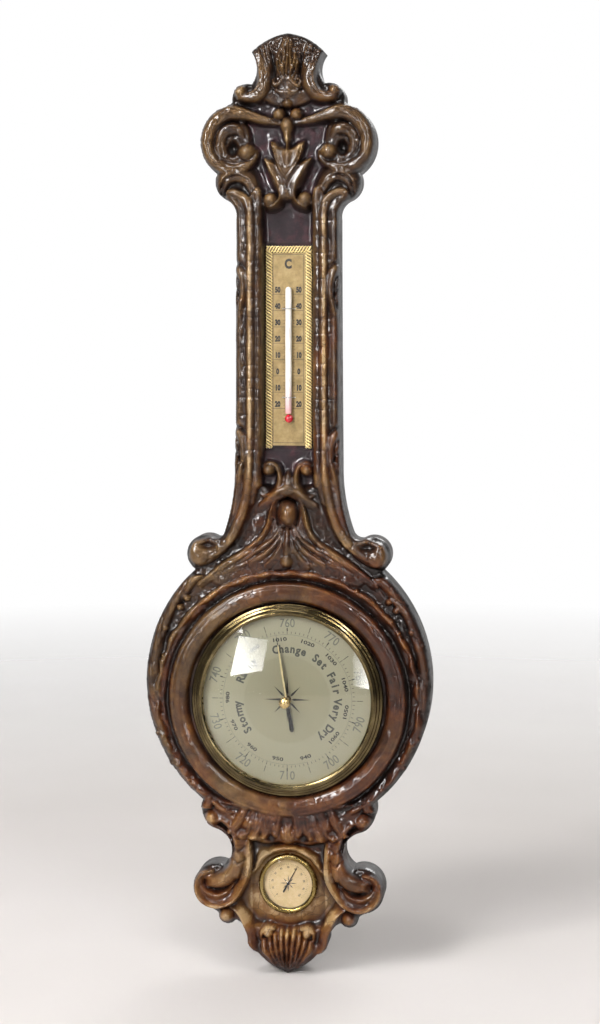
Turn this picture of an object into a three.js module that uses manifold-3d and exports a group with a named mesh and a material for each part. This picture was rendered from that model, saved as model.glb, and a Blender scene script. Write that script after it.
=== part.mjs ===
// A carved wall barometer with a thermometer in its neck and a hygrometer in its foot.
// Millimetres, +Z up. The wall is the plane y = 0 and the front of the case faces -Y.
// "Depth" is the distance in front of the wall, so a point at depth d has y = -d.
// The origin is the point of the hanger plate that rests on the wall hook.
// Heights in the carving are given above the dial centre, as the carver's drawing would.
import * as THREE from "three";
import { mergeVertices } from "three/addons/utils/BufferGeometryUtils.js";
import Module from "manifold-3d";

const wasm = await Module();
wasm.setup();

// ---- driving dimensions ------------------------------------------------------------------
const DIAL_Z = -440; // height of the dial centre, below the hanging point
const HYGRO_Z = DIAL_Z - 139;
const EDGE_DEPTH = 28; // front of the plain case between the carvings
const PANEL_DEPTH = 20; // sunk fields behind the thermometer and the hygrometer
const GAP = 0.3; // between pieces that touch
const CHORD = 0.3; // how far a faceted arc may stray from the true one

const BORE_RADIUS = 66.8; // seat of the barometer insert, front part
const CAN_BORE_RADIUS = 61.8; // the same bore behind the step
const BORE_STEP_DEPTH = 23;
const BEZEL_RADIUS = 72.5;
const SEAT_DEPTH = 30; // wood under the bezel flange
const GLASS_RADIUS = 64.6;
const CAN_RADIUS = 61;
const DIAL_DEPTH = 30.5; // back of the dial plate
const DIAL_THICKNESS = 0.6;

const HYGRO_BORE_RADIUS = 19.4;
const HYGRO_SEAT_DEPTH = 24;
const HYGRO_BEZEL_RADIUS = 22.4;

const MODULE = 0.5; // of the toothed sector and its pinion
const PINION_TEETH = 10;
const SECTOR_RATIO = 10; // pointer turns this many times as far as the sector
const PINION_PITCH_RADIUS = (MODULE * PINION_TEETH) / 2;
const SECTOR_PITCH_RADIUS = PINION_PITCH_RADIUS * SECTOR_RATIO;
const GEAR_DISTANCE = PINION_PITCH_RADIUS + SECTOR_PITCH_RADIUS;
const SECTOR_HEIGHT = 18; // height of the sector's pivot above the dial centre
const SECTOR_X = -Math.sqrt(GEAR_DISTANCE ** 2 - SECTOR_HEIGHT ** 2);

const POINTER_ANGLE = -9.5; // degrees clockwise from the top, both hands
const HYGRO_HAND_ANGLE = 29;

const PLATE_TOP = 334.8; // thermometer plate, heights above the dial centre
const PLATE_BOTTOM = 189.5;
const PLATE_HALF_WIDTH = 13.2;
const TRIM_WIDTH = 4.4;
const TRIM_X = PLATE_HALF_WIDTH + GAP + TRIM_WIDTH / 2;

// ---- materials ---------------------------------------------------------------------------
const material = (color, roughness, metalness, extra = {}) =>
  new THREE.MeshStandardMaterial({ color, roughness, metalness, ...extra });
const varnishedWood = material(0x5f3d22, 0.3, 0);
const brass = material(0xb08d4a, 0.25, 1);
const brushedBrass = material(0xc2a878, 0.45, 0.8);
const goldTrim = material(0xc9a24e, 0.5, 0.3);
const silveredDial = material(0xd9d8c8, 0.45, 0.3);
const creamDial = material(0xefddb5, 0.6, 0);
const clearGlass = material(0xe8eeee, 0.05, 0, { transparent: true, opacity: 0.25 });
const enamelGlass = material(0xf4f2ee, 0.15, 0);
const redSpirit = material(0xb3121e, 0.2, 0);
const blackSteel = material(0x17171a, 0.35, 0.6);
const steel = material(0x9b9fa3, 0.35, 1);
const tinnedSteel = material(0xb9bab6, 0.4, 0.9);
const coilPaper = material(0x8d7a55, 0.7, 0.1);

// ---- solids ------------------------------------------------------------------------------
const group = new THREE.Group();

function solidOf(geometry) {
  const bare = geometry.index ? geometry.toNonIndexed() : geometry.clone();
  bare.deleteAttribute("normal");
  bare.deleteAttribute("uv");
  const merged = mergeVertices(bare, 1e-4);
  const index = merged.index.array;
  const kept = [];
  for (let i = 0; i < index.length; i += 3) {
    const [a, b, c] = [index[i], index[i + 1], index[i + 2]];
    if (a !== b && b !== c && c !== a) kept.push(a, b, c);
  }
  const vertProperties = merged.attributes.position.array;
  const made = new wasm.Manifold(
    new wasm.Mesh({ numProp: 3, vertProperties, triVerts: new Uint32Array(kept) }),
  );
  if (made.volume() > 0) return made;
  for (let i = 0; i < kept.length; i += 3) [kept[i], kept[i + 1]] = [kept[i + 1], kept[i]];
  return new wasm.Manifold(
    new wasm.Mesh({ numProp: 3, vertProperties, triVerts: new Uint32Array(kept) }),
  );
}

function piece(name, solid, surface) {
  const mesh = solid.getMesh();
  const geometry = new THREE.BufferGeometry();
  geometry.setAttribute("position", new THREE.BufferAttribute(mesh.vertProperties, 3));
  geometry.setIndex(new THREE.BufferAttribute(mesh.triVerts, 1));
  geometry.computeVertexNormals();
  const made = new THREE.Mesh(geometry, surface);
  made.name = name;
  group.add(made);
}

const join = (...solids) => solids.reduce((sum, solid) => sum.add(solid));
const cut = (solid, ...tools) => tools.reduce((rest, tool) => rest.subtract(tool), solid);

// A body of revolution about a line from the wall to the viewer; profile rows are [radius, depth].
function turned(profile, x, z, segments = 48) {
  const points = profile.map(([radius, depth]) => new THREE.Vector2(radius, -depth));
  const onAxis = profile[0][0] === 0 && profile[profile.length - 1][0] === 0;
  if (!onAxis) points.push(points[0].clone());
  const geometry = new THREE.LatheGeometry(points, segments);
  geometry.translate(x, 0, z);
  return solidOf(geometry);
}

const disc = (radius, from, to, x, z, segments = 24) =>
  turned([[0, from], [radius, from], [radius, to], [0, to]], x, z, segments);

const tube = (inner, outer, from, to, x, z, segments = 40) =>
  turned([[inner, from], [outer, from], [outer, to], [inner, to]], x, z, segments);

// A flat outline in the plane of the dial, given thickness from one depth to another.
function slab(points, from, to) {
  const shape = new THREE.Shape(points.map(([x, z]) => new THREE.Vector2(x, z)));
  const geometry = new THREE.ExtrudeGeometry(shape, { depth: to - from, bevelEnabled: false });
  geometry.translate(0, 0, from);
  geometry.rotateX(Math.PI / 2);
  return solidOf(geometry);
}

function block(x0, x1, from, to, z0, z1) {
  const geometry = new THREE.BoxGeometry(x1 - x0, to - from, z1 - z0);
  geometry.translate((x0 + x1) / 2, -(from + to) / 2, (z0 + z1) / 2);
  return solidOf(geometry);
}

function rod(start, end, radius, segments = 12) {
  const from = new THREE.Vector3(start[0], -start[1], start[2]);
  const to = new THREE.Vector3(end[0], -end[1], end[2]);
  const along = to.clone().sub(from);
  const geometry = new THREE.CylinderGeometry(radius, radius, along.length(), segments);
  const turn = new THREE.Quaternion().setFromUnitVectors(
    new THREE.Vector3(0, 1, 0),
    along.clone().normalize(),
  );
  geometry.applyQuaternion(turn);
  geometry.translate(...from.add(to).multiplyScalar(0.5).toArray());
  return solidOf(geometry);
}

function ball([x, depth, z], [rx, rDepth, rz], around = 8, rows = 4) {
  const geometry = new THREE.SphereGeometry(1, around, rows);
  geometry.scale(rx, rDepth, rz);
  geometry.translate(x, -depth, z);
  return solidOf(geometry);
}

// A round-sectioned moulding along a smooth path of [x, depth, z] points.
function moulding(path, radius, steps, sides = 10) {
  const curve = new THREE.CatmullRomCurve3(path.map(([x, d, z]) => new THREE.Vector3(x, -d, z)));
  const section = new THREE.Shape();
  section.absarc(0, 0, radius, 0, Math.PI * 2);
  const options = { steps, curveSegments: sides / 2, extrudePath: curve, bevelEnabled: false };
  return solidOf(new THREE.ExtrudeGeometry(section, options));
}

// Points along the circular arc that starts at a, passes through via and ends at b, without a.
function arc(a, via, b) {
  const [ax, az] = a;
  const [bx, bz] = [via[0] - ax, via[1] - az];
  const [cx, cz] = [b[0] - ax, b[1] - az];
  const twist = 2 * (bx * cz - bz * cx);
  if (Math.abs(twist) < 1e-6) return [b];
  const ux = (cz * (bx * bx + bz * bz) - bz * (cx * cx + cz * cz)) / twist;
  const uz = (bx * (cx * cx + cz * cz) - cx * (bx * bx + bz * bz)) / twist;
  const radius = Math.hypot(ux, uz);
  const start = Math.atan2(-uz, -ux);
  let sweep = Math.atan2(cz - uz, cx - ux) - start;
  if (twist > 0 && sweep < 0) sweep += 2 * Math.PI;
  if (twist < 0 && sweep > 0) sweep -= 2 * Math.PI;
  const step = 2 * Math.acos(1 - Math.min(CHORD, radius) / radius);
  const count = Math.max(2, Math.ceil(Math.abs(sweep) / step));
  return Array.from({ length: count }, (_, i) => {
    const angle = start + (sweep * (i + 1)) / count;
    return [ax + ux + radius * Math.cos(angle), az + uz + radius * Math.sin(angle)];
  });
}

// A chain of arcs: the first point, then pairs of a point to pass through and a point to reach.
function arcChain(knots) {
  const points = [knots[0]];
  for (let i = 1; i < knots.length; i += 2) {
    points.push(...arc(knots[i - 1], knots[i], knots[i + 1]));
  }
  return points;
}

const onCase = (points) => points.map(([x, z]) => [x, z + DIAL_Z]);
const mirrored = (points) => points.map(([x, ...rest]) => [-x, ...rest]);

// A shape that is the same on both sides: its right half runs from the top to the bottom.
function symmetric(knots) {
  const right = arcChain(knots);
  const left = mirrored(right.slice(1, -1)).reverse();
  return onCase([...right, ...left]);
}

const bothSides = (make) => join(make(1), make(-1));

// ---- case --------------------------------------------------------------------------------
// Right half of the carved outline, from the crown to the tip, as [x, height above the dial].
const OUTLINE = [
  [0, 499], [15, 494.5], [27.3, 485], // fan of the crown
  [23.2, 473], [27.5, 461.3], // waist
  [38.8, 458.8], [42.5, 448], // crown volute
  [47, 444], [52, 442.5],
  [66, 419], [53.8, 394], // head lobe
  [54.5, 384], [46.5, 374.3], // rail cap
  [40.5, 369.5], [38.5, 360],
  [38.8, 268], [39.5, 176], // neck
  [41.6, 147], [47.5, 124.5],
  [51, 120.3], [56, 119.5],
  [73.8, 116.8], [70.5, 96], // shoulder hook
  [107.9, 11], [64.2, -77], // round body
  [64.8, -89.5], [56, -98.2], // small lower scroll
  [42, -113.5], [49, -127.8],
  [71.5, -138.5], [61, -159], // large foot volute
  [56.5, -160.5], [52.8, -163],
  [48.5, -170.2], [40, -167.5], // small foot volute
  [33, -172.5], [30, -181],
  [28.5, -187], [22.5, -190],
  [12.5, -199], [0, -205.5], // palmette tip
];
const HEAD_PANEL = [
  [0, 442], [22, 446], [44, 436],
  [55, 418], [44, 400],
  [30, 386], [18, 380],
  [9, 380], [0, 380],
];
const FOOT_PANEL = [
  [0, -106], [18, -104], [31, -108],
  [26, -126], [33, -143],
  [38, -152], [37, -160],
  [28, -165], [20, -173],
  [10, -170], [0, -169],
];

function rail(side) {
  const path = [
    [43, 26, 384], [36.5, 27, 379], [30, 28, 368], [29.3, 28, 340], [29.3, 28, 260],
    [30, 28, 190], [31.5, 27.5, 158], [36.5, 27, 134], [46, 26.5, 116], [58, 26, 108.5],
    [65, 26, 108.5],
  ];
  return moulding(path.map(([x, d, z]) => [side * x, d, z + DIAL_Z]), 8.6, 14, 8);
}

function headScroll(side) {
  const path = [
    [3, 25, 431], [16, 26, 430], [30, 26.5, 435], [45, 26.5, 435], [56, 26, 427],
    [58.5, 26, 415], [52, 25, 403], [41, 25, 399], [32.5, 25, 403],
  ];
  return moulding(path.map(([x, d, z]) => [side * x, d, z + DIAL_Z]), 6.2, 12, 6);
}

function footScroll(side) {
  const path = [
    [57, 23, -90], [47, 24, -92.5], [38.5, 25, -103], [36.5, 25.5, -118], [42, 26, -134],
    [53, 26, -145], [62, 25, -144],
  ];
  return moulding(path.map(([x, d, z]) => [side * x, d, z + DIAL_Z]), 7.2, 9, 6);
}

function crownScroll(side) {
  const path = [[23.5, 25, 482], [19, 26.5, 470], [19.5, 27, 459], [27, 26, 451], [36, 25, 452]];
  return moulding(path.map(([x, d, z]) => [side * x, d, z + DIAL_Z]), 5, 7, 6);
}

// Volute eyes, beads and cabochons: [x, height, radius, radius along the height], in pairs or alone.
const PAIRED_BALLS = [
  [30.5, 410, 6, 6], [12.6, 373.6, 6.6, 6.6], [43, 391, 8.6, 6.6], [36, 455, 5, 5],
  [14, 171, 5, 5], [69, 107, 6.6, 7.5], [62, -144, 9.4, 11], [46, -163.5, 5.4, 5.4],
  [14.5, -177, 5.2, 5.2],
];
const SINGLE_BALLS = [[0, 428, 4.5, 5], [0, 139.5, 7.2, 10], [0, 103, 5.5, 6], [0, 446, 5, 4]];

function carvedBalls() {
  const make = ([x, height, rx, rz]) => ball([x, 26, height + DIAL_Z], [rx, 9, rz]);
  const pairs = PAIRED_BALLS.map((row) => join(make(row), make([-row[0], ...row.slice(1)])));
  return join(...pairs, ...SINGLE_BALLS.map(make));
}

// Ribs that spread from a foot point, for the crown's leaf and the palmette.
function ribs(foot, reach, spread, count, radius) {
  const made = Array.from({ length: count }, (_, i) => {
    const angle = spread * (i / (count - 1) - 0.5);
    const end = [foot[0] + reach * Math.sin(angle), foot[1] + reach * Math.cos(angle)];
    return moulding(
      [
        [foot[0], 24, foot[1] + DIAL_Z],
        [(foot[0] + end[0]) / 2, 28, (foot[1] + end[1]) / 2 + DIAL_Z],
        [end[0], 26, end[1] + DIAL_Z],
      ],
      radius,
      3,
      6,
    );
  });
  return join(...made);
}

function caseBody() {
  const outline = symmetric(OUTLINE);
  const plain = slab(outline, 0, EDGE_DEPTH);
  const channel = block(-19, 19, PANEL_DEPTH, 60, 176 + DIAL_Z, 384 + DIAL_Z);
  const headPanel = slab(symmetric(HEAD_PANEL), PANEL_DEPTH + 2, 60);
  const footPanel = slab(symmetric(FOOT_PANEL), PANEL_DEPTH, 60);
  const sunk = cut(plain, channel, headPanel, footPanel);
  const shieldLeaf = slab(
    onCase([[0, 424], [11, 413], [6, 392], [4, 378], [-4, 378], [-6, 392], [-11, 413]]),
    PANEL_DEPTH,
    32,
  );
  const woodRing = turned(
    [[66, 20], [66, SEAT_DEPTH], [73.2, SEAT_DEPTH], [75, 33.5], [79.5, 36], [84, 34], [86.5, 29],
      [86.5, 20]],
    0,
    DIAL_Z,
    40,
  );
  const garland = turned(
    [[90, 20], [90, 29], [94, 33], [102, 32.5], [106.5, 28], [106.5, 20]],
    0,
    DIAL_Z + 5,
    32,
  );
  const hygroSeat = tube(10, 24.6, 10, HYGRO_SEAT_DEPTH, 0, HYGRO_Z);
  const carved = join(
    sunk,
    shieldLeaf,
    woodRing,
    garland,
    hygroSeat,
    bothSides(rail),
    bothSides(headScroll),
    bothSides(footScroll),
    bothSides(crownScroll),
    carvedBalls(),
    ribs([0, 452], 42, 1.0, 3, 5),
    ribs([0, -168], 33, 0.5, 3, 4).intersect(slab(outline, 0, 60)),
    ribs([0, 104], 60, 1.3, 3, 6),
  );
  const insertBore = turned(
    [[0, -1], [CAN_BORE_RADIUS, -1], [CAN_BORE_RADIUS, BORE_STEP_DEPTH],
      [BORE_RADIUS, BORE_STEP_DEPTH], [BORE_RADIUS, SEAT_DEPTH], [BEZEL_RADIUS + 0.6, SEAT_DEPTH],
      [BEZEL_RADIUS + 0.6, 60], [0, 60]],
    0,
    DIAL_Z,
    44,
  );
  const hygroBore = turned(
    [[0, -1], [HYGRO_BORE_RADIUS, -1], [HYGRO_BORE_RADIUS, HYGRO_SEAT_DEPTH],
      [23.4, HYGRO_SEAT_DEPTH], [23.4, 60], [0, 60]],
    0,
    HYGRO_Z,
    48,
  );
  const bounded = carved.intersect(slab(outline, -1, 60));
  return cut(bounded, insertBore, hygroBore, hangerPocket(), ...hangerScrewHoles());
}

// ---- hanger on the back ------------------------------------------------------------------
const HANGER_HALF_WIDTH = 11;
const HANGER_TOP = 24;
const HANGER_BOTTOM = -32;
const HANGER_DEPTH = 2.2; // the plate lies below the back face, so its screws clear the wall
const HANGER_THICKNESS = 1.5;
const HANGER_SCREWS = [17, -26]; // heights above the hanging point
const SCREW_RADIUS = 1.6;

function hangerPocket() {
  const plateSeat = block(
    -HANGER_HALF_WIDTH - GAP,
    HANGER_HALF_WIDTH + GAP,
    -1,
    HANGER_DEPTH + HANGER_THICKNESS + GAP,
    HANGER_BOTTOM - GAP,
    HANGER_TOP + GAP,
  );
  const headRoom = block(-6.5, 6.5, -1, 13, -19.5, 6.5);
  return join(plateSeat, headRoom);
}

const hangerScrewHoles = () =>
  HANGER_SCREWS.map((z) => disc(SCREW_RADIUS + GAP, -1, 15, 0, z, 16));

function hanger() {
  const blank = block(
    -HANGER_HALF_WIDTH,
    HANGER_HALF_WIDTH,
    HANGER_DEPTH,
    HANGER_DEPTH + HANGER_THICKNESS,
    HANGER_BOTTOM,
    HANGER_TOP,
  );
  const slotRadius = 2.6;
  const slotTop = arcChain([[slotRadius, -slotRadius], [0, 0], [-slotRadius, -slotRadius]]);
  const slot = slab([[slotRadius, -12], [slotRadius, -slotRadius], ...slotTop, [-slotRadius, -12]],
    -1, 5);
  const entry = disc(5.5, -1, 5, 0, -13, 24);
  const holes = HANGER_SCREWS.map((z) => disc(SCREW_RADIUS + GAP, -1, 5, 0, z, 16));
  piece("hanger_plate", cut(blank, slot, entry, ...holes), steel);
  HANGER_SCREWS.forEach((z, i) => {
    const head = HANGER_DEPTH - GAP;
    const screw = turned(
      [[0, head - 1.5], [2.2, head - 1.3], [3.2, head - 0.4], [3.2, head], [SCREW_RADIUS, head],
        [SCREW_RADIUS, 12], [0, 14]],
      0,
      z,
      16,
    );
    const slot = block(-4, 4, -1, head - 0.9, z - 0.4, z + 0.4);
    piece("hanger_screw_" + (i ? "lower" : "upper"), cut(screw, slot), steel);
  });
}

// ---- thermometer -------------------------------------------------------------------------
function thermometer() {
  const back = PANEL_DEPTH + GAP;
  const plateFront = back + 1;
  const stemRadius = 2.4;
  const stemDepth = plateFront + GAP + stemRadius;
  const stemTop = 309 + DIAL_Z;
  const stemBottom = 213.6 + DIAL_Z;
  piece(
    "thermometer_plate",
    block(-PLATE_HALF_WIDTH, PLATE_HALF_WIDTH, back, plateFront, PLATE_BOTTOM + DIAL_Z,
      PLATE_TOP + DIAL_Z),
    brushedBrass,
  );
  const stem = join(
    rod([0, stemDepth, stemBottom], [0, stemDepth, stemTop - stemRadius], stemRadius, 20),
    ball([0, stemDepth, stemTop - stemRadius], [stemRadius, stemRadius, stemRadius], 20, 10),
  );
  piece("thermometer_stem", stem, enamelGlass);
  const bulbRadius = 3.3;
  const bulb = ball(
    [0.4, plateFront + GAP + 2.6, stemBottom - GAP - bulbRadius],
    [bulbRadius, 2.6, bulbRadius],
    14,
    8,
  );
  piece("spirit_bulb", bulb, redSpirit);
  const clipHeights = { stem_clip_upper: 292.5, stem_clip_lower: 225.8 };
  for (const [name, height] of Object.entries(clipHeights)) {
    const reach = stemRadius + 0.8;
    const foot = plateFront + GAP + 0.35;
    const path = [
      [-reach - 2, foot, 0], [-reach - 0.4, foot, 0], [-reach, stemDepth, 0],
      [-reach * 0.7, stemDepth + reach * 0.75, 0], [0, stemDepth + reach, 0],
      [reach * 0.7, stemDepth + reach * 0.75, 0], [reach, stemDepth, 0],
      [reach + 0.4, foot, 0], [reach + 2, foot, 0],
    ];
    const wire = moulding(path.map(([x, d]) => [x, d, height + DIAL_Z]), 0.32, 22, 6);
    piece(name, wire, steel);
  }
}

// The twisted gold cord glued round three sides of the thermometer plate.
function trimRun(start, end) {
  const [x0, z0] = start;
  const [x1, z1] = end;
  const half = TRIM_WIDTH / 2;
  const length = Math.hypot(x1 - x0, z1 - z0);
  const section = new THREE.Shape();
  section.absellipse(0, 0, half, 1.4, 0, Math.PI * 2, false, 0);
  const geometry = new THREE.ExtrudeGeometry(section, {
    depth: length,
    curveSegments: 6,
    bevelEnabled: false,
  });
  if (x0 !== x1) geometry.rotateY(Math.PI / 2);
  geometry.translate(x0, -(PANEL_DEPTH + GAP + 1.4), Math.min(z0, z1) + DIAL_Z);
  return solidOf(geometry);
}

function trim() {
  const top = PLATE_TOP + GAP + TRIM_WIDTH;
  const middle = PLATE_TOP + GAP + TRIM_WIDTH / 2;
  const inner = TRIM_X - TRIM_WIDTH / 2 - GAP;
  piece("trim_cord_left", trimRun([-TRIM_X, 187.5], [-TRIM_X, top]), goldTrim);
  piece("trim_cord_right", trimRun([TRIM_X, 187.5], [TRIM_X, top]), goldTrim);
  piece("trim_cord_top", trimRun([-inner, middle], [inner, middle]), goldTrim);
}

// ---- barometer insert --------------------------------------------------------------------
const CAN_BACK = 3.5;
const GLASS_BACK = 34.4; // back of the glass at its rim
const GLASS_THICKNESS = 2;
const GLASS_RISE = 6.3;
const SHAFT_HOLE = 1.5;

// Points of a shallow dome, [radius, depth], from the inner radius out to the rim.
function dome(inner, rim, rimDepth, rise, count) {
  const sphere = (rim * rim + rise * rise) / (2 * rise);
  return Array.from({ length: count + 1 }, (_, i) => {
    const radius = inner + ((rim - inner) * i) / count;
    return [radius, rimDepth + rise - (sphere - Math.sqrt(sphere ** 2 - radius ** 2))];
  });
}

function domedGlass(rim, rimBack, thickness, rise, hole, x, z, segments, count) {
  const back = dome(hole, rim, rimBack, rise, count);
  const front = dome(hole, rim, rimBack + thickness, rise, count).reverse();
  return turned([...back, ...front], x, z, segments);
}

function hand(points, angle, x, z, from, to) {
  const turn = THREE.MathUtils.degToRad(angle);
  const place = ([px, pz]) => [
    x + px * Math.cos(turn) + pz * Math.sin(turn),
    z - px * Math.sin(turn) + pz * Math.cos(turn),
  ];
  return slab(points.map(place), from, to);
}

const handOutline = (right) => [...right, ...mirrored(right).reverse()];

function barometerFace() {
  piece(
    "bezel_ring",
    turned(
      [[65.1, 24], [66.1, 24], [66.1, SEAT_DEPTH + GAP], [BEZEL_RADIUS, SEAT_DEPTH + GAP],
        [BEZEL_RADIUS, 32.2], [71.6, 33.6], [70, 34], [69.6, 35.4], [68, 35.8], [67.6, 37],
        [65.6, 38.2], [63.5, 37.6], [63.4, GLASS_BACK + GLASS_THICKNESS + GAP],
        [65.1, GLASS_BACK + GLASS_THICKNESS + GAP]],
      0,
      DIAL_Z,
      44,
    ),
    brass,
  );
  piece(
    "dial_glass",
    domedGlass(GLASS_RADIUS, GLASS_BACK, GLASS_THICKNESS, GLASS_RISE, SHAFT_HOLE, 0, DIAL_Z, 36, 4),
    clearGlass,
  );
  const dialFront = DIAL_DEPTH + DIAL_THICKNESS;
  piece("spacer_ring", tube(63.6, 64.6, dialFront + GAP, GLASS_BACK - GAP, 0, DIAL_Z), brass);
  piece("dial_plate", tube(3, 64.4, DIAL_DEPTH, dialFront, 0, DIAL_Z, 48), silveredDial);
}

const POINTER_DEPTH = 33;
const SET_HAND_DEPTH = 35.4;

function barometerHands() {
  const pointer = hand(
    handOutline([[0, 50], [0.5, 36], [1.1, 8], [1.1, -8], [1.6, -22], [1.1, -23.7], [0, -24.3]]),
    POINTER_ANGLE,
    0,
    DIAL_Z,
    POINTER_DEPTH,
    POINTER_DEPTH + 0.5,
  );
  const hub = disc(2.6, POINTER_DEPTH, POINTER_DEPTH + 1, 0, DIAL_Z);
  const hole = disc(1.1, 30, 40, 0, DIAL_Z, 16);
  piece("pointer_hand", cut(join(pointer, hub), hole), blackSteel);
  const setting = hand(
    handOutline([[0, 42], [0.35, 41], [0.7, 22], [0.6, 2], [0, 0]]),
    POINTER_ANGLE + 0.6,
    0,
    DIAL_Z,
    SET_HAND_DEPTH,
    SET_HAND_DEPTH + 0.5,
  );
  const collar = disc(2.4, SET_HAND_DEPTH, SET_HAND_DEPTH + 1.2, 0, DIAL_Z);
  const shaftHole = disc(1.3, 30, 45, 0, DIAL_Z, 16);
  piece("set_hand", cut(join(setting, collar), shaftHole), brass);
  const knob = turned(
    [[0, 34.6], [1, 34.6], [1, 43.2], [3.6, 43.2], [4.15, 43.9], [4.15, 46.2], [3.4, 47.6],
      [1.8, 48.4], [0, 48.6]],
    0,
    DIAL_Z,
    28,
  );
  piece("set_knob", knob, brass);
}

// ---- movement ----------------------------------------------------------------------------
const BASE_DEPTH = 5.3;
const BASE_FRONT = 6.9;
const LOWER_PLATE = [19.6, 20.8]; // depths of the plate that carries the gear train
const BRIDGE = [27.6, 28.8];
const PILLARS = [[24, 12], [-14, -24], [-36, 26]];
const POSTS = [[10, 9], [-5, -13], [-31, 27]];
const LEVER_X = 2.5;
const LEVER_PIVOT = -14;
const LEVER_TIP = 20.5;
const ROCKER_HEIGHT = 16.5;
const ROCKER_DEPTH = 15;
const ROCKER_ARM_X = SECTOR_X + 8.2;
const SCREW_PLACE = [-27, -22];
const BASE_SCREWS = [[0, 46], [-40, -23], [40, -23]];

const atDial = ([x, z]) => [x, z + DIAL_Z];

function roundedPlate(corners, radius, from, to) {
  const count = corners.length;
  const points = [];
  for (let i = 0; i < count; i += 1) {
    const before = corners[(i + count - 1) % count];
    const [x, z] = corners[i];
    const after = corners[(i + 1) % count];
    const into = Math.atan2(z - before[1], x - before[0]) - Math.PI / 2;
    let out = Math.atan2(after[1] - z, after[0] - x) - Math.PI / 2;
    while (out < into) out += 2 * Math.PI;
    for (let k = 0; k <= 4; k += 1) {
      const angle = into + ((out - into) * k) / 4;
      points.push([x + radius * Math.cos(angle), z + radius * Math.sin(angle)]);
    }
  }
  return slab(onCase(points), from, to);
}

function movementFrame() {
  const can = turned(
    [[0, CAN_BACK], [CAN_RADIUS - 3, CAN_BACK], [CAN_RADIUS, CAN_BACK + 3], [CAN_RADIUS, 29.2],
      [64.6, 29.2], [64.6, 30.1], [CAN_RADIUS - 1, 30.1], [CAN_RADIUS - 1, CAN_BACK + 3.4],
      [CAN_RADIUS - 3.4, CAN_BACK + 1], [0, CAN_BACK + 1]],
    0,
    DIAL_Z,
    40,
  );
  const screwAccess = disc(3.6, 0, 8, ...atDial(SCREW_PLACE), 20);
  const fixing = BASE_SCREWS.map((place) => disc(1.6, 0, 8, ...atDial(place), 12));
  piece("movement_can", cut(can, screwAccess, ...fixing), tinnedSteel);

  const base = cut(
    disc(52, BASE_DEPTH, BASE_FRONT, 0, DIAL_Z, 40),
    disc(2.2, 0, 9, 0, DIAL_Z, 16),
    disc(2.1, 0, 9, ...atDial(SCREW_PLACE), 16),
    ...BASE_SCREWS.map((place) => disc(1.6, 0, 9, ...atDial(place), 12)),
  );
  piece("movement_base", base, brass);
  BASE_SCREWS.forEach((place, i) => {
    const screw = turned(
      [[0, 2], [2.2, 2.2], [2.6, CAN_BACK - GAP], [1.3, CAN_BACK - GAP], [1.3, 9], [0, 9]],
      ...atDial(place),
      12,
    );
    piece("base_screw_" + (i + 1), screw, steel);
  });

  const corners = [PILLARS[1], PILLARS[0], PILLARS[2]];
  const leverRoom = block(LEVER_X - 3, LEVER_X + 3, 10, 25, 4 + DIAL_Z, 40 + DIAL_Z);
  const armRoom = block(ROCKER_ARM_X - 1.7, ROCKER_ARM_X + 1.7, 10, 25, 12.5 + DIAL_Z,
    20.5 + DIAL_Z);
  const lower = cut(
    roundedPlate(corners, 4, ...LOWER_PLATE),
    leverRoom,
    armRoom,
    disc(0.9, 10, 25, 0, DIAL_Z, 12),
    disc(1.3, 10, 25, SECTOR_X, SECTOR_HEIGHT + DIAL_Z, 12),
  );
  piece("train_plate", lower, brass);
  PILLARS.forEach((place, i) => {
    const pillar = disc(2.5, BASE_FRONT + GAP, LOWER_PLATE[0] - GAP, ...atDial(place), 16);
    piece("pillar_" + (i + 1), pillar, brass);
  });
  const bridge = cut(
    roundedPlate([POSTS[1], POSTS[0], POSTS[2]], 3.2, ...BRIDGE),
    disc(1.2, 20, 35, 0, DIAL_Z, 12),
    disc(1.3, 20, 35, SECTOR_X, SECTOR_HEIGHT + DIAL_Z, 12),
  );
  piece("front_bridge", bridge, brass);
  POSTS.forEach((place, i) => {
    const post = disc(1.9, LOWER_PLATE[1] + GAP, BRIDGE[0] - GAP, ...atDial(place), 12);
    piece("bridge_post_" + (i + 1), post, brass);
  });
  for (const [side, x] of [["left", ROCKER_ARM_X - 5], ["right", LEVER_X + 11]]) {
    const cheek = cut(
      block(x - 0.6, x + 0.6, BASE_FRONT + GAP, ROCKER_DEPTH + 2.4, 13.5 + DIAL_Z, 19.5 + DIAL_Z),
      rod([x - 3, ROCKER_DEPTH, ROCKER_HEIGHT + DIAL_Z],
        [x + 3, ROCKER_DEPTH, ROCKER_HEIGHT + DIAL_Z], 1.2, 12),
    );
    piece("rocker_cheek_" + side, cheek, brass);
  }
}

function capsule() {
  const lower = turned(
    [[0, 5], [1.8, 5], [1.8, 8.8], [17.6, 8.8], [17.6, 9.4], [14.5, 11.4], [11, 10.9], [8, 12],
      [0, 12]],
    0,
    DIAL_Z,
    24,
  );
  piece("capsule_shell", lower, tinnedSteel);
  const upper = turned(
    [[0, 12.7], [8, 12.7], [11, 11.7], [14.2, 12.1], [17.1, 10.4], [17.6, 10.7], [14.5, 13.4],
      [11, 12.9], [8, 14], [4, 14], [4, 14.9], [1.2, 14.9], [1.2, 17.4], [0, 17.4]],
    0,
    DIAL_Z,
    24,
  );
  piece("capsule_diaphragm", upper, tinnedSteel);
}

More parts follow.
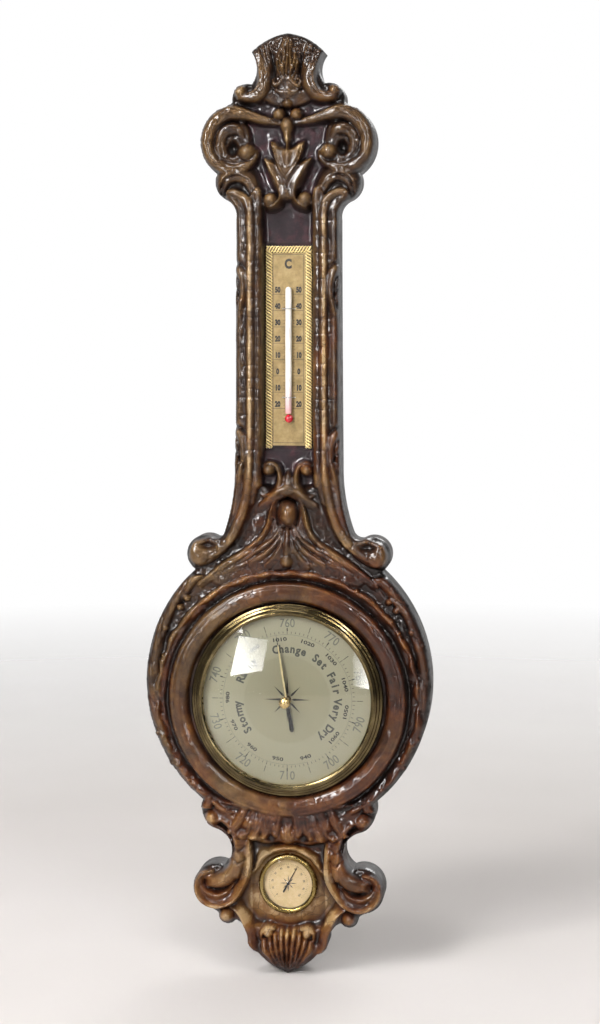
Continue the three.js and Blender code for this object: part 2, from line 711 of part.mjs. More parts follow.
function springAndLever() {
  const leg = [15.8, 17];
  const bow = cut(
    join(
      block(-5, 5, BASE_FRONT + GAP, leg[1], -31.5 + DIAL_Z, -30 + DIAL_Z),
      block(-5, 5, ...leg, -31.5 + DIAL_Z, 5 + DIAL_Z),
      block(-5, 5, BASE_FRONT + GAP, BASE_FRONT + GAP + 1.4, -38 + DIAL_Z, -30 + DIAL_Z),
      block(LEVER_X - 4.4, LEVER_X - 3.4, 16, 19.3, -15.6 + DIAL_Z, -12.4 + DIAL_Z),
      block(LEVER_X + 1.5, LEVER_X + 2.5, 16, 19.3, -15.6 + DIAL_Z, -12.4 + DIAL_Z),
    ),
    disc(1.6, 14, 19, 0, DIAL_Z, 16),
    rod([-5, 18.2, LEVER_PIVOT + DIAL_Z], [9, 18.2, LEVER_PIVOT + DIAL_Z], 0.75, 12),
  );
  piece("bow_spring", bow, steel);

  const lever = join(
    rod([LEVER_X - 4.2, 18.2, LEVER_PIVOT + DIAL_Z], [LEVER_X + 2.3, 18.2, LEVER_PIVOT + DIAL_Z],
      0.45, 10),
    rod([LEVER_X, 18.2, LEVER_PIVOT + DIAL_Z], [LEVER_X, 18.2, LEVER_TIP + 1 + DIAL_Z], 0.55, 10),
    rod([LEVER_X, 18.2, DIAL_Z], [-1.4, 18.2, DIAL_Z], 0.4, 10),
    rod([LEVER_X, 18.2, LEVER_TIP + DIAL_Z], [LEVER_X, 16, LEVER_TIP + DIAL_Z], 0.45, 10),
  );
  piece("main_lever", lever, steel);

  const rockerZ = ROCKER_HEIGHT + DIAL_Z;
  const armZ = SECTOR_HEIGHT - 1.7 + DIAL_Z;
  const rocker = join(
    rod([ROCKER_ARM_X - 6, ROCKER_DEPTH, rockerZ], [LEVER_X + 12, ROCKER_DEPTH, rockerZ], 0.8, 12),
    rod([LEVER_X, ROCKER_DEPTH, rockerZ], [LEVER_X, ROCKER_DEPTH, LEVER_TIP + 0.6 + DIAL_Z], 0.5,
      10),
    rod([ROCKER_ARM_X, ROCKER_DEPTH, rockerZ], [ROCKER_ARM_X, 24, armZ], 0.5, 10),
  );
  piece("rocking_shaft", rocker, steel);
}

// Outline of a toothed arc: teeth stand on the root circle, narrowing from root to tip.
function toothedArc(teeth, firstAngle, pitchAngle, root, tip, rootShare, tipShare) {
  const points = [];
  for (let i = 0; i < teeth; i += 1) {
    const middle = firstAngle + i * pitchAngle;
    const flank = [
      [root, -rootShare], [tip, -tipShare], [tip, tipShare], [root, rootShare],
    ];
    for (const [radius, share] of flank) {
      const angle = middle + (share * pitchAngle) / 2;
      points.push([radius * Math.cos(angle), radius * Math.sin(angle)]);
    }
  }
  return points;
}

function gearTrain() {
  const toPinion = Math.atan2(-SECTOR_HEIGHT, -SECTOR_X);
  const pinionPitch = (2 * Math.PI) / PINION_TEETH;
  const pinionPoints = toothedArc(
    PINION_TEETH,
    toPinion + Math.PI + pinionPitch / 2,
    pinionPitch,
    PINION_PITCH_RADIUS - 0.75,
    PINION_PITCH_RADIUS + 0.4,
    0.5,
    0.2,
  );
  const leaves = slab(pinionPoints.map(atDial), 22, 24.8);
  const arbor = turned(
    [[0, 20], [0.6, 20], [0.6, 21.2], [0.8, 21.2], [0.8, 33.8], [0, 33.8]],
    0,
    DIAL_Z,
    12,
  );
  piece("pointer_arbor", join(leaves, arbor), steel);

  const sectorPitch = pinionPitch / SECTOR_RATIO;
  const teeth = 15;
  const half = ((teeth - 1) / 2) * sectorPitch;
  const rim = SECTOR_PITCH_RADIUS - 0.7;
  const toothed = toothedArc(teeth, toPinion - half, sectorPitch, rim, SECTOR_PITCH_RADIUS + 0.4,
    0.5, 0.22);
  const edge = half + sectorPitch * 0.6;
  const inner = Array.from({ length: 13 }, (_, i) => {
    const angle = toPinion + edge - (2 * edge * i) / 12;
    return [(rim - 3) * Math.cos(angle), (rim - 3) * Math.sin(angle)];
  });
  const place = ([x, z]) => [x + SECTOR_X, z + SECTOR_HEIGHT + DIAL_Z];
  const rimEnds = [toPinion - edge, toPinion + edge].map((angle) => [
    rim * Math.cos(angle),
    rim * Math.sin(angle),
  ]);
  const toothedRim = slab([rimEnds[0], ...toothed, rimEnds[1], ...inner].map(place), 22.6, 24);
  const across = [-Math.sin(toPinion), Math.cos(toPinion)];
  const spokeEnd = [(rim - 1.5) * Math.cos(toPinion), (rim - 1.5) * Math.sin(toPinion)];
  const spoke = slab(
    [
      [across[0] * 2.2, across[1] * 2.2], [-across[0] * 2.2, -across[1] * 2.2],
      [spokeEnd[0] - across[0] * 1.4, spokeEnd[1] - across[1] * 1.4],
      [spokeEnd[0] + across[0] * 1.4, spokeEnd[1] + across[1] * 1.4],
    ].map(place),
    22.6,
    24,
  );
  const tail = slab([[0, -0.8], [9, -0.7], [9, 0.7], [0, 0.8]].map(place), 22.6, 24);
  const [px, pz] = place([0, 0]);
  const pivot = join(disc(3, 22.6, 24, px, pz, 20), disc(1, 20, 28.4, px, pz, 12));
  piece("toothed_sector", join(toothedRim, spoke, tail, pivot), brass);
}

// A flat strip wound in a spiral about a line towards the viewer.
function spiral(inner, outer, turns, thickness, from, to, x, z, steps) {
  const at = (offset) => (_, i) => {
    const share = i / steps;
    const angle = share * turns * 2 * Math.PI;
    const radius = inner + (outer - inner) * share + offset;
    return [x + radius * Math.cos(angle), z + radius * Math.sin(angle)];
  };
  const outside = Array.from({ length: steps + 1 }, at(thickness / 2));
  const inside = Array.from({ length: steps + 1 }, at(-thickness / 2)).reverse();
  return slab([...outside, ...inside], from, to);
}

function adjustment() {
  const [x, z] = atDial(SCREW_PLACE);
  const head = turned(
    [[0, 0.9], [2.9, 0.9], [3.2, 1.3], [3.2, 4.7], [1.5, 4.7], [1.5, 12], [0, 12.6]],
    x,
    z,
    20,
  );
  const slot = block(x - 4, x + 4, 0, 2.1, z - 0.5, z + 0.5);
  piece("adjusting_screw", cut(head, slot), steel);
  piece("hairspring", spiral(2.2, 6.6, 3, 0.3, 25.4, 26.8, 0, DIAL_Z, 42), steel);
}

// ---- hygrometer --------------------------------------------------------------------------
function hygrometer() {
  piece(
    "hygro_bezel",
    turned(
      [[19.1, 20], [19.3 - GAP / 2, 20], [19.3 - GAP / 2, HYGRO_SEAT_DEPTH + GAP],
        [HYGRO_BEZEL_RADIUS, HYGRO_SEAT_DEPTH + GAP], [HYGRO_BEZEL_RADIUS, 26.6], [21.8, 28.2],
        [20.6, 29.2], [19.3, 29], [18.4, 28.1], [18.4, 27.6], [18.7, 27.6]],
      0,
      HYGRO_Z,
      32,
    ).intersect(disc(30, 24, 40, 0, HYGRO_Z, 40)),
    brass,
  );
  piece("hygro_glass", domedGlass(18.2, 26.1, 1.1, 1.8, 0, 0, HYGRO_Z, 28, 3), clearGlass);
  const can = turned(
    [[0, 4], [17.2, 4], [17.2, 23.6], [18.7, 23.6], [18.7, 24.2], [16.6, 24.2], [16.6, 4.6],
      [0, 4.6]],
    0,
    HYGRO_Z,
    36,
  );
  const vents = [0, 1, 2].map((i) => {
    const angle = (i * 2 * Math.PI) / 3;
    return disc(2.2, 0, 8, 10 * Math.cos(angle), HYGRO_Z + 10 * Math.sin(angle), 12);
  });
  piece("hygro_can", cut(can, ...vents), tinnedSteel);
  piece("hygro_dial", tube(1.2, 18.3, 24.6, 25, 0, HYGRO_Z, 36), creamDial);
  const pointer = hand(
    handOutline([[0, 16], [0.25, 12], [0.4, 0], [0.75, -7], [0, -8]]),
    HYGRO_HAND_ANGLE,
    0,
    HYGRO_Z,
    25.5,
    25.8,
  );
  const hub = disc(1.2, 25.5, 26, 0, HYGRO_Z, 16);
  piece("hygro_hand", join(pointer, hub), blackSteel);
  piece("hygro_arbor", disc(0.5, 8, 25.2, 0, HYGRO_Z, 10), steel);
  piece("hygro_coil", spiral(1.8, 11.5, 4, 0.4, 12, 17, 0, HYGRO_Z, 56), coilPaper);
  const bridge = cut(
    join(
      block(-15.8, 15.8, 19.4, 20.4, -3 + HYGRO_Z, 3 + HYGRO_Z),
      block(-15.8, -14.8, 5, 20.4, -3 + HYGRO_Z, 3 + HYGRO_Z),
      block(14.8, 15.8, 5, 20.4, -3 + HYGRO_Z, 3 + HYGRO_Z),
    ),
    disc(0.9, 15, 25, 0, HYGRO_Z, 12),
  );
  piece("hygro_bridge", bridge, brass);
}

// ---- the whole object --------------------------------------------------------------------
piece("case_body", caseBody(), varnishedWood);
hanger();
thermometer();
trim();
barometerFace();
barometerHands();
movementFrame();
capsule();
springAndLever();
gearTrain();
adjustment();
hygrometer();

export default group;
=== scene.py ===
import math

import bpy
import numpy as np
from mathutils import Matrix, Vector, geometry


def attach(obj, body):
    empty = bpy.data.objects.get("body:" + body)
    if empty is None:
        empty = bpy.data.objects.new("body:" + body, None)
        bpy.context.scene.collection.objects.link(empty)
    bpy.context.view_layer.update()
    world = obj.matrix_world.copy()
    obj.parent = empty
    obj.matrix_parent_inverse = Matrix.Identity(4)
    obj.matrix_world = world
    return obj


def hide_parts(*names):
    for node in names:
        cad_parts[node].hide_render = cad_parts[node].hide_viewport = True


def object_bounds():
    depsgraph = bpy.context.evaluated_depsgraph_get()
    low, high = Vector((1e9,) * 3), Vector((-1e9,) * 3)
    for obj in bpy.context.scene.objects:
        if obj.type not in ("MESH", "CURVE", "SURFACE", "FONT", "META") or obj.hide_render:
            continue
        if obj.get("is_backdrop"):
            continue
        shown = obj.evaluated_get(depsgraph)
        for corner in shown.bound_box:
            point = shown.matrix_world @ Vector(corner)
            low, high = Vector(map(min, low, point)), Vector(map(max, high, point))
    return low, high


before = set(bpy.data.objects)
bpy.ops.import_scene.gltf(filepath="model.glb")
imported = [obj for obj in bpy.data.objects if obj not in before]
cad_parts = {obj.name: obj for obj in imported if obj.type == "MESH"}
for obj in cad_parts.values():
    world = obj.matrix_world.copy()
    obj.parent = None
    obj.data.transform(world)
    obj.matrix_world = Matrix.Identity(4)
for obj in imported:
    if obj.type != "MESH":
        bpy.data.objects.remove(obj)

CAD_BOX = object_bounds()
MM = 0.001
DIAL_Z = -440.0  # height of the dial centre in the frame, mm
HYGRO_DROP = 139.0  # hygrometer centre below the dial centre
HYGRO_Z = DIAL_Z - HYGRO_DROP
FLOOR_Z = -0.6458  # just under the foot of the case, m


# ---- meshes ------------------------------------------------------------------------------
def linked(name, data):
    obj = bpy.data.objects.new(name, data)
    bpy.context.scene.collection.objects.link(obj)
    return obj


def add_piece(name, verts, faces, material, slot, body="case", smooth=True, sharp=None):
    """A mesh piece from points in millimetres, riding on a CAD body."""
    mesh = bpy.data.meshes.new(name)
    mesh.from_pydata((np.asarray(verts, dtype=float) * MM).tolist(), [], [list(f) for f in faces])
    mesh.validate()
    mesh.materials.append(material)
    obj = linked(name, mesh)
    if smooth:
        mesh.shade_smooth()
    if sharp:
        mesh.set_sharp_from_angle(angle=math.radians(sharp))
    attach(obj, body)
    return obj


def lathe(profile, z, segments, close=True):
    """Points and faces of a body of revolution about a line from the wall to the viewer."""
    rows = len(profile)
    angles = np.linspace(0, 2 * math.pi, segments, endpoint=False)
    verts = [(r * math.sin(a), -d, z + r * math.cos(a)) for a in angles for r, d in profile]
    faces = []
    for i in range(segments):
        j = (i + 1) % segments
        for k in range(rows if close else rows - 1):
            m = (k + 1) % rows
            faces.append((j * rows + k, j * rows + m, i * rows + m, i * rows + k))
    return verts, faces


def rounded(profile, radius, steps=4):
    """A closed profile with each corner replaced by a small arc."""
    out = []
    points = [np.array(p, dtype=float) for p in profile]
    for i, p in enumerate(points):
        da, db = points[i - 1] - p, points[(i + 1) % len(points)] - p
        cut = min(radius, np.linalg.norm(da) * 0.45, np.linalg.norm(db) * 0.45)
        start, end = p + da / np.linalg.norm(da) * cut, p + db / np.linalg.norm(db) * cut
        for t in np.linspace(0, 1, steps):
            out.append(tuple((1 - t) ** 2 * start + 2 * t * (1 - t) * p + t * t * end))
    return out


def tube_mesh(path, radii, sides):
    """A round tube along a path that is not steep to the wall, closed at both ends."""
    tangent = np.gradient(path, axis=0)
    tangent /= np.linalg.norm(tangent, axis=1)[:, None]
    verts, faces = [], []
    normal = np.cross(tangent[0], (0.0, 1.0, 0.0))
    for p, t, radius in zip(path, tangent, radii):
        normal = normal - t * np.dot(normal, t)
        normal /= np.linalg.norm(normal)
        other = np.cross(t, normal)
        for k in range(sides):
            a = 2 * math.pi * k / sides
            verts.append(p + radius * (math.cos(a) * normal + math.sin(a) * other))
    last = (len(path) - 1) * sides
    for i in range(0, last, sides):
        for k in range(sides):
            m = (k + 1) % sides
            faces.append((i + k, i + m, i + sides + m, i + sides + k))
    faces.append(tuple(range(sides - 1, -1, -1)))
    faces.append(tuple(range(last, last + sides)))
    return verts, faces


def merged(parts):
    verts, faces = [], []
    for v, f in parts:
        start = len(verts)
        verts.extend(v)
        faces.extend(tuple(i + start for i in face) for face in f)
    return verts, faces


# ---- materials ---------------------------------------------------------------------------
def hex_colour(text):
    """sRGB hex to the linear colour that a shader takes."""
    parts = [int(text[i:i + 2], 16) / 255 for i in (1, 3, 5)]
    return (*[c / 12.92 if c <= 0.04045 else ((c + 0.055) / 1.055) ** 2.4 for c in parts], 1)


class Look:
    """A node material with a Principled shader and short calls to feed it."""

    def __init__(self, name, **sockets):
        self.material = bpy.data.materials.new(name)
        self.material.use_nodes = True
        self.tree = self.material.node_tree
        self.shader = self.tree.nodes["Principled BSDF"]
        self.feed(**sockets)
        self.place = self.node("ShaderNodeTexCoord").outputs["Object"]

    def put(self, socket, value):
        """Links another socket to this one, or sets its value."""
        if isinstance(value, bpy.types.NodeSocket):
            self.tree.links.new(value, socket)
        else:
            socket.default_value = hex_colour(value) if isinstance(value, str) else value

    def node(self, kind, *values, **settings):
        """A node with its inputs in order, then its settings and inputs by name."""
        made = self.tree.nodes.new(kind)
        for key, value in settings.items():
            if hasattr(made, key):
                setattr(made, key, value)
            else:
                self.put(made.inputs[key.replace("_", " ")], value)
        for socket, value in zip(made.inputs, values):
            self.put(socket, value)
        return made

    def feed(self, **sockets):
        for key, value in sockets.items():
            self.put(self.shader.inputs[key.replace("_", " ")], value)
        return self.material

    def shade_with(self, surface):
        """Puts another surface in front of the output, in place of the shader alone."""
        self.put(self.tree.nodes["Material Output"].inputs["Surface"], surface)
        return self.material

    def noise(self, scale, detail=3.0, rough=0.55, vector=None, distortion=0.0, output="Fac"):
        made = self.node("ShaderNodeTexNoise", Scale=scale, Detail=detail, Roughness=rough,
                         Distortion=distortion, Vector=vector or self.place)
        return made.outputs[output]

    def brushed(self, scale, detail, rough, *stretch):
        """Noise in a stretched space, for a grain in one direction."""
        space = self.node("ShaderNodeMapping", Vector=self.place, Scale=stretch)
        return self.noise(scale, detail, rough, space.outputs[0])

    def ramp(self, value, *stops):
        made = self.node("ShaderNodeValToRGB", value)
        elements = made.color_ramp.elements
        while len(elements) < len(stops):
            elements.new(0.5)
        for element, (place, colour) in zip(elements, stops):
            element.position = place
            element.color = hex_colour(colour) if isinstance(colour, str) else (*[colour] * 3, 1)
        return made.outputs["Color"]

    def math(self, kind, *values, clamp=False):
        return self.node("ShaderNodeMath", *values, operation=kind, use_clamp=clamp).outputs[0]

    def vector(self, kind, *values, **inputs):
        made = self.node("ShaderNodeVectorMath", *values, operation=kind, **inputs)
        return made.outputs["Value" if kind == "LENGTH" else "Vector"]

    def swing(self, value, centre, weight):
        """(value - centre) * weight, to add to another value."""
        return self.math("MULTIPLY", self.math("SUBTRACT", value, centre), weight)

    def mix(self, factor, a, b, blend="MIX"):
        made = self.node("ShaderNodeMix", data_type="RGBA", blend_type=blend)
        for index, value in ((0, factor), (6, a), (7, b)):
            self.put(made.inputs[index], value)
        return made.outputs[2]

    def attribute(self, name):
        return self.node("ShaderNodeAttribute", attribute_name=name).outputs["Fac"]

    def bump(self, height, distance, strength):
        made = self.node("ShaderNodeBump", Strength=strength, Distance=distance, Height=height)
        return made.outputs["Normal"]

    def hollow(self, distance, samples, full, none):
        """1 in corners and grooves, 0 on open faces."""
        made = self.node("ShaderNodeAmbientOcclusion", Distance=distance, samples=samples)
        return self.ramp(made.outputs["AO"], (full, 1.0), (none, 0.0))


def wood_look():
    """Glaze and painted shade in the hollows, wear and painted highlight on the crests, and a
    cracked, cloudy varnish.
    """
    look = Look("varnished_walnut", Roughness=0.38, Specular_IOR_Level=0.15, Coat_Weight=0.9,
                Coat_Roughness=0.095, Coat_IOR=1.42)
    # crest: lighter on raised carving as wear and painted highlight, darker in hollows as glaze and
    # painted shade
    crest, panel, warm = (look.attribute(name) for name in ("crest", "panel", "warm"))
    cloud = look.noise(44, 5, 0.6, distortion=0.9)
    mottle = look.noise(160, 3, 0.65, distortion=0.6)
    level = look.math("ADD", crest, look.swing(cloud, 0.5, 0.85))
    level = look.math("ADD", level, look.swing(mottle, 0.5, 0.35), clamp=True)
    places = (0.0, 0.25, 0.45, 0.62, 0.8, 0.92, 1.0)
    cool, red = (look.ramp(level, *zip(places, colours)) for colours in (
        ("#0c0604", "#190e09", "#2f1e12", "#48331d", "#60482b", "#765c3b", "#9d8563"),
        ("#0d0503", "#200d06", "#3b1a0a", "#562e12", "#6c441d", "#7e562a", "#9a7a50")))
    patches = look.noise(24, 3, 0.55, distortion=0.5)
    reddish = look.ramp(look.math("ADD", patches, warm), (0.43, 0.0), (0.68, 0.9))
    colour = look.mix(reddish, cool, red)
    field = look.ramp(look.noise(90, 4, 0.7), (0.3, "#1b1416"), (0.5, "#281d21"), (0.7, "#45292c"))
    colour = look.mix(panel, colour, field)
    jitter = look.vector("SCALE", look.noise(90, 2, 0.5, output="Color"), Scale=0.006)
    cells = look.node("ShaderNodeTexVoronoi", feature="DISTANCE_TO_EDGE", Scale=62,
                      Randomness=1.0, Vector=look.vector("ADD", look.place, jitter))
    crack = look.ramp(cells.outputs["Distance"], (0.0, 1.0), (0.022, 0.0))
    gate = look.ramp(look.noise(22, 1, 0.4), (0.42, 0.0), (0.55, 1.0))
    crack = look.math("MULTIPLY", crack, gate)
    colour = look.mix(look.math("MULTIPLY", crack, 0.6), colour, "#24140f")
    chisel = look.noise(130, 2, 0.5, distortion=0.4)
    height = look.math("ADD", chisel, look.math("MULTIPLY", look.noise(620, 3, 0.6), 0.12))
    height = look.math("SUBTRACT", height, look.math("MULTIPLY", crack, 0.5))
    coat = look.math("SUBTRACT", look.noise(150, 2, 0.5), look.math("MULTIPLY", crack, 0.4))
    # both gloss layers fade at grazing angles, or the edges turn milky
    facing = look.node("ShaderNodeLayerWeight").outputs["Facing"]
    return look.feed(
        Base_Color=colour,
        Roughness=look.ramp(look.noise(120, 3, 0.6), (0.3, 0.28), (0.7, 0.5)),
        Normal=look.bump(height, 0.0004, 0.7),
        Coat_Weight=look.ramp(facing, (0.5, 0.9), (0.86, 0.12)),
        Coat_Normal=look.bump(coat, 0.0002, 0.5),
        Specular_IOR_Level=look.ramp(facing, (0.5, 0.15), (0.86, 0.02)))


def metal_look(name, base, light, dark, rough, stretch=(1, 1, 1)):
    look = Look(name, Metallic=1.0, Roughness=rough)
    grain = look.brushed(260, 4, 0.6, *stretch)
    return look.feed(
        Base_Color=look.ramp(look.noise(41.6, 3, 0.6), (0.3, dark), (0.5, base), (0.72, light)),
        Roughness=look.ramp(grain, (0.3, rough - 0.08), (0.7, rough + 0.1)),
        Normal=look.bump(grain, 0.00004, 0.6))


def brass_look():
    """Lacquered brass, darker in its grooves and corners."""
    look = Look("lacquered_brass", Metallic=1.0, Roughness=0.2, Coat_Weight=0.3,
                Coat_Roughness=0.08)
    colour = look.ramp(look.noise(45, 4, 0.65), (0.3, "#4d422a"), (0.5, "#685a3b"),
                       (0.72, "#8a7b56"))
    return look.feed(
        Base_Color=look.mix(look.hollow(0.003, 4, 0.35, 0.95), colour, "#2e2614"),
        Roughness=look.ramp(look.noise(300, 3, 0.6), (0.3, 0.14), (0.7, 0.26)),
        Normal=look.bump(look.noise(420, 2), 0.00003, 0.4))


def glass_look():
    """Clear glass: mirror reflection by angle over what is behind it."""
    look = Look("clear_glass")
    facing = look.node("ShaderNodeLayerWeight", Blend=0.5).outputs["Facing"]
    edge_on = look.math("MULTIPLY", look.math("POWER", facing, 5.0), 0.9)
    smear = look.math("MULTIPLY", look.noise(40, 2), 0.012)
    factor = look.math("ADD", look.math("ADD", edge_on, 0.04), smear, clamp=True)
    clear = look.node("ShaderNodeBsdfTransparent", Color=(0.985, 0.99, 0.985, 1))
    mirror = look.node("ShaderNodeBsdfGlossy", Roughness=0.02)
    mixer = look.node("ShaderNodeMixShader", factor, clear.outputs[0], mirror.outputs[0])
    look.tree.nodes.remove(look.shader)
    return look.shade_with(mixer.outputs[0])


def dial_look():
    """Silvered dial plate: cream satin, greyer inside the word ring."""
    look = Look("silvered_dial", Metallic=0.25, Roughness=0.42)
    from_centre = look.vector("SUBTRACT", look.place, (0, -0.0311, DIAL_Z * MM))
    radius = look.math("MULTIPLY", look.vector("LENGTH", from_centre), 10)
    spot = look.ramp(radius, (0.0, "#878168"), (0.318, "#8b866f"), (0.332, "#928d77"),
                     (0.64, "#9a957f"))
    stain = look.ramp(look.noise(60, 5, 0.7), (0.45, 0.0), (0.8, 0.35))
    grain = look.brushed(900, 3, 0.5, 1, 1, 0.05)
    return look.feed(
        Base_Color=look.mix(stain, spot, "#958c70"),
        Roughness=look.ramp(grain, (0.3, 0.36), (0.7, 0.5)),
        Normal=look.bump(grain, 0.00002, 0.5))


def paper_look(name, base, dark, light, rough, scale, metallic=0.0):
    look = Look(name, Metallic=metallic, Roughness=rough)
    return look.feed(
        Base_Color=look.ramp(look.noise(scale, 5, 0.7), (0.3, dark), (0.5, base), (0.72, light)),
        Roughness=look.ramp(look.noise(scale * 2, 2), (0.3, rough - 0.08), (0.7, rough + 0.08)),
        Normal=look.bump(look.noise(scale * 3, 3), 0.00003, 0.5))


def thread_look():
    """Gold metallic thread over a pale core, with painted shade in the gaps between the strands."""
    look = Look("gold_thread", Metallic=0.3, Roughness=0.42)
    fibre = look.noise(1300, 2, 0.5)
    gold = look.ramp(fibre, (0.3, "#cdb170"), (0.5, "#e6cd8f"), (0.7, "#f7e8b8"))
    return look.feed(
        # painted shade: darker where the strands meet, found by the AO node
        Base_Color=look.mix(look.hollow(0.0014, 6, 0.35, 0.8), gold, "#6e4f1c"),
        Normal=look.bump(fibre, 0.0001, 0.6),
        Roughness=look.ramp(fibre, (0.3, 0.3), (0.7, 0.5)))


def enamel_look():
    """White backed glass stem, pink where the spirit shows through at its foot."""
    look = Look("white_enamel_glass", Roughness=0.12, Coat_Weight=1.0, Coat_Roughness=0.03)
    height = look.node("ShaderNodeSeparateXYZ", look.place).outputs["Z"]
    rise = look.math("SUBTRACT", height, (DIAL_Z + 213) * MM)
    tint = look.ramp(look.math("MULTIPLY", rise, 30.0, clamp=True), (0.0, "#d98f92"),
                     (0.35, "#eccfd0"), (0.75, "#f3f0ec"))
    streak = look.ramp(look.noise(200, 2), (0.3, "#ece8e4"), (0.7, "#fbf8f4"))
    return look.feed(
        Base_Color=look.mix(0.85, streak, tint, "MULTIPLY"),
        Roughness=look.ramp(look.noise(500, 2), (0.3, 0.08), (0.7, 0.16)))


def spirit_look():
    look = Look("red_spirit", Roughness=0.08, Coat_Weight=1.0, Coat_Roughness=0.02)
    return look.feed(
        Base_Color=look.ramp(look.noise(260, 2), (0.3, "#8d0b1b"), (0.7, "#d0152c")),
        Roughness=look.ramp(look.noise(600, 2), (0.3, 0.05), (0.7, 0.12)))


def ink_look(name, dark, light):
    look = Look(name, Roughness=0.6)
    return look.feed(
        Base_Color=look.ramp(look.noise(700, 3, 0.7), (0.35, dark), (0.75, light)))


WOOD = wood_look()
BRASS = brass_look()
GLASS = glass_look()
DIAL = dial_look()
THREAD = thread_look()
GOLD = metal_look("polished_gold", "#d2b884", "#e6d2a0", "#b4975e", 0.24)
SMALL_BRASS = metal_look("small_bezel_brass", "#97824f", "#b59f6b", "#766439", 0.22)
GILT = paper_look("gilt_hand", "#c4b183", "#b39f6f", "#d3c296", 0.35, 300)
INK = ink_look("black_ink", "#09090b", "#151415")
GREY_INK = ink_look("grey_ink", "#5f5f55", "#6d6c62")
WORD_INK = ink_look("word_ink", "#33342e", "#43443c")
SLOT_LOOKS = {
    "varnished_wood": WOOD,
    "clear_glass": GLASS,
    "silvered_dial": DIAL,
    "gold_cord": THREAD,
    "enamelled_glass": enamel_look(),
    "red_spirit": spirit_look(),
    "brass": metal_look("clock_brass", "#ccb277", "#e0ca96", "#a88c54", 0.28, (0.1, 1, 1)),
    "steel": metal_look("bright_steel", "#a3a6a8", "#bfc2c3", "#85888a", 0.32, (1, 1, 0.1)),
    "tinned_steel": metal_look("tinned_steel", "#adaea9", "#c2c3bd", "#8f918c", 0.38),
    "cream_dial": paper_look("cream_card", "#cfb487", "#c2a676", "#d8bf97", 0.6, 240),
    "plate_metal": paper_look("printed_plate", "#8f794f", "#776440", "#a08a61", 0.4, 170, 0.35),
    "black_steel": paper_look("black_lacquer", "#141316", "#0b0b0d", "#232226", 0.3, 400, 0.4),
    "coil_paper": paper_look("coil_paper", "#8d7a55", "#75633f", "#a3906a", 0.7, 500),
}
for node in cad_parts.values():
    for place, old in enumerate(node.data.materials):
        node.material_slots[place].material = SLOT_LOOKS[old.name]
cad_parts["set_hand"].material_slots[0].material = GILT


# ---- the carved case ---------------------------------------------------------------------
# Millimetres: x to the right, z as the height above the dial centre, and relief as depth.
STEP = 0.8
EDGE_ROUND = 4.5
BORE = 66.8  # radius of the round opening for the barometer, in front of its ledge
BORE_BACK = 61.8  # and behind the ledge
HYGRO_BORE = 19.4
# an arc through each three points, the last of which starts the next arc
OUTLINE = [
    (0, 499), (15, 494.5), (27.3, 485), (23.2, 473), (27.5, 461.3), (38.8, 458.8), (42.5, 448),
    (47, 444), (52, 442.5), (66, 419), (53.8, 394), (54.5, 384), (46.5, 374.3), (40.5, 369.5),
    (38.5, 360), (38.8, 268), (39.5, 176), (41.6, 147), (47.5, 124.5), (51, 120.3), (56, 119.5),
    (73.8, 116.8), (70.5, 96), (107.6, 11), (64.2, -77), (64.8, -89.5), (56, -98.2),
    (42, -113.5), (49, -127.8), (71.5, -138.5), (61, -159), (56.5, -160.5), (52.8, -163),
    (48.5, -170.2), (40, -167.5), (33, -172.5), (30, -181), (28.5, -187), (22.5, -190),
    (12.5, -199), (0, -205.3),
]


def arc_points(a, b, c, spacing):
    """Points on the circle through three points, from the first to just before the last."""
    (ax, ay), (bx, by), (cx, cy) = a, b, c
    d = 2 * (ax * (by - cy) + bx * (cy - ay) + cx * (ay - by))
    if abs(d) < 1e-6:
        count = max(2, int(math.dist(a, c) / spacing))
        return [(ax + (cx - ax) * i / count, ay + (cy - ay) * i / count) for i in range(count)]
    sa, sb, sc = ax * ax + ay * ay, bx * bx + by * by, cx * cx + cy * cy
    ox = (sa * (by - cy) + sb * (cy - ay) + sc * (ay - by)) / d
    oy = (sa * (cx - bx) + sb * (ax - cx) + sc * (bx - ax)) / d
    radius = math.hypot(ax - ox, ay - oy)
    start, via, end = (math.atan2(y - oy, x - ox) for x, y in (a, b, c))
    sweep = (end - start) % (2 * math.pi)
    if (via - start) % (2 * math.pi) > sweep:
        sweep -= 2 * math.pi
    count = max(2, int(abs(sweep) * radius / spacing))
    turns = [start + sweep * i / count for i in range(count)]
    return [(ox + radius * math.cos(a), oy + radius * math.sin(a)) for a in turns]


def outline_points(spacing=0.25):
    right = []
    for i in range(0, len(OUTLINE) - 2, 2):
        right += arc_points(OUTLINE[i], OUTLINE[i + 1], OUTLINE[i + 2], spacing)
    right.append(OUTLINE[-1])
    left = [(-x, z) for x, z in right[1:-1]][::-1]
    return np.array(right + left)


def smooth_noise(shape, cell, seed):
    """Soft random field from -1 to 1, with features of about cell grid steps."""
    rng = np.random.default_rng(seed)
    rows, cols = shape
    coarse = rng.uniform(-1, 1, (rows // cell + 4, cols // cell + 4))
    u, v = np.arange(rows) / cell, np.arange(cols) / cell
    i, j = u.astype(int), v.astype(int)
    fu, fv = u - i, v - j
    fu, fv = fu * fu * (3 - 2 * fu), fv * fv * (3 - 2 * fv)
    near, far = (coarse[np.ix_(i, col)] * (1 - fu)[:, None]
                 + coarse[np.ix_(i + 1, col)] * fu[:, None] for col in (j, j + 1))
    return near * (1 - fv) + far * fv


def blurred(field, cells):
    """Three box passes along each axis."""
    out = field
    for _ in range(3):
        for axis in (0, 1):
            pad = [(0, 0), (0, 0)]
            pad[axis] = (cells + 1, cells)
            run = np.cumsum(np.pad(out, pad, mode="edge"), axis=axis)
            width = 2 * cells + 1
            ahead = np.take(run, range(width, run.shape[axis]), axis=axis)
            behind = np.take(run, range(0, run.shape[axis] - width), axis=axis)
            out = (ahead - behind) / width
    return out


def bell(value, width):
    return np.exp(-(value / width) ** 2)


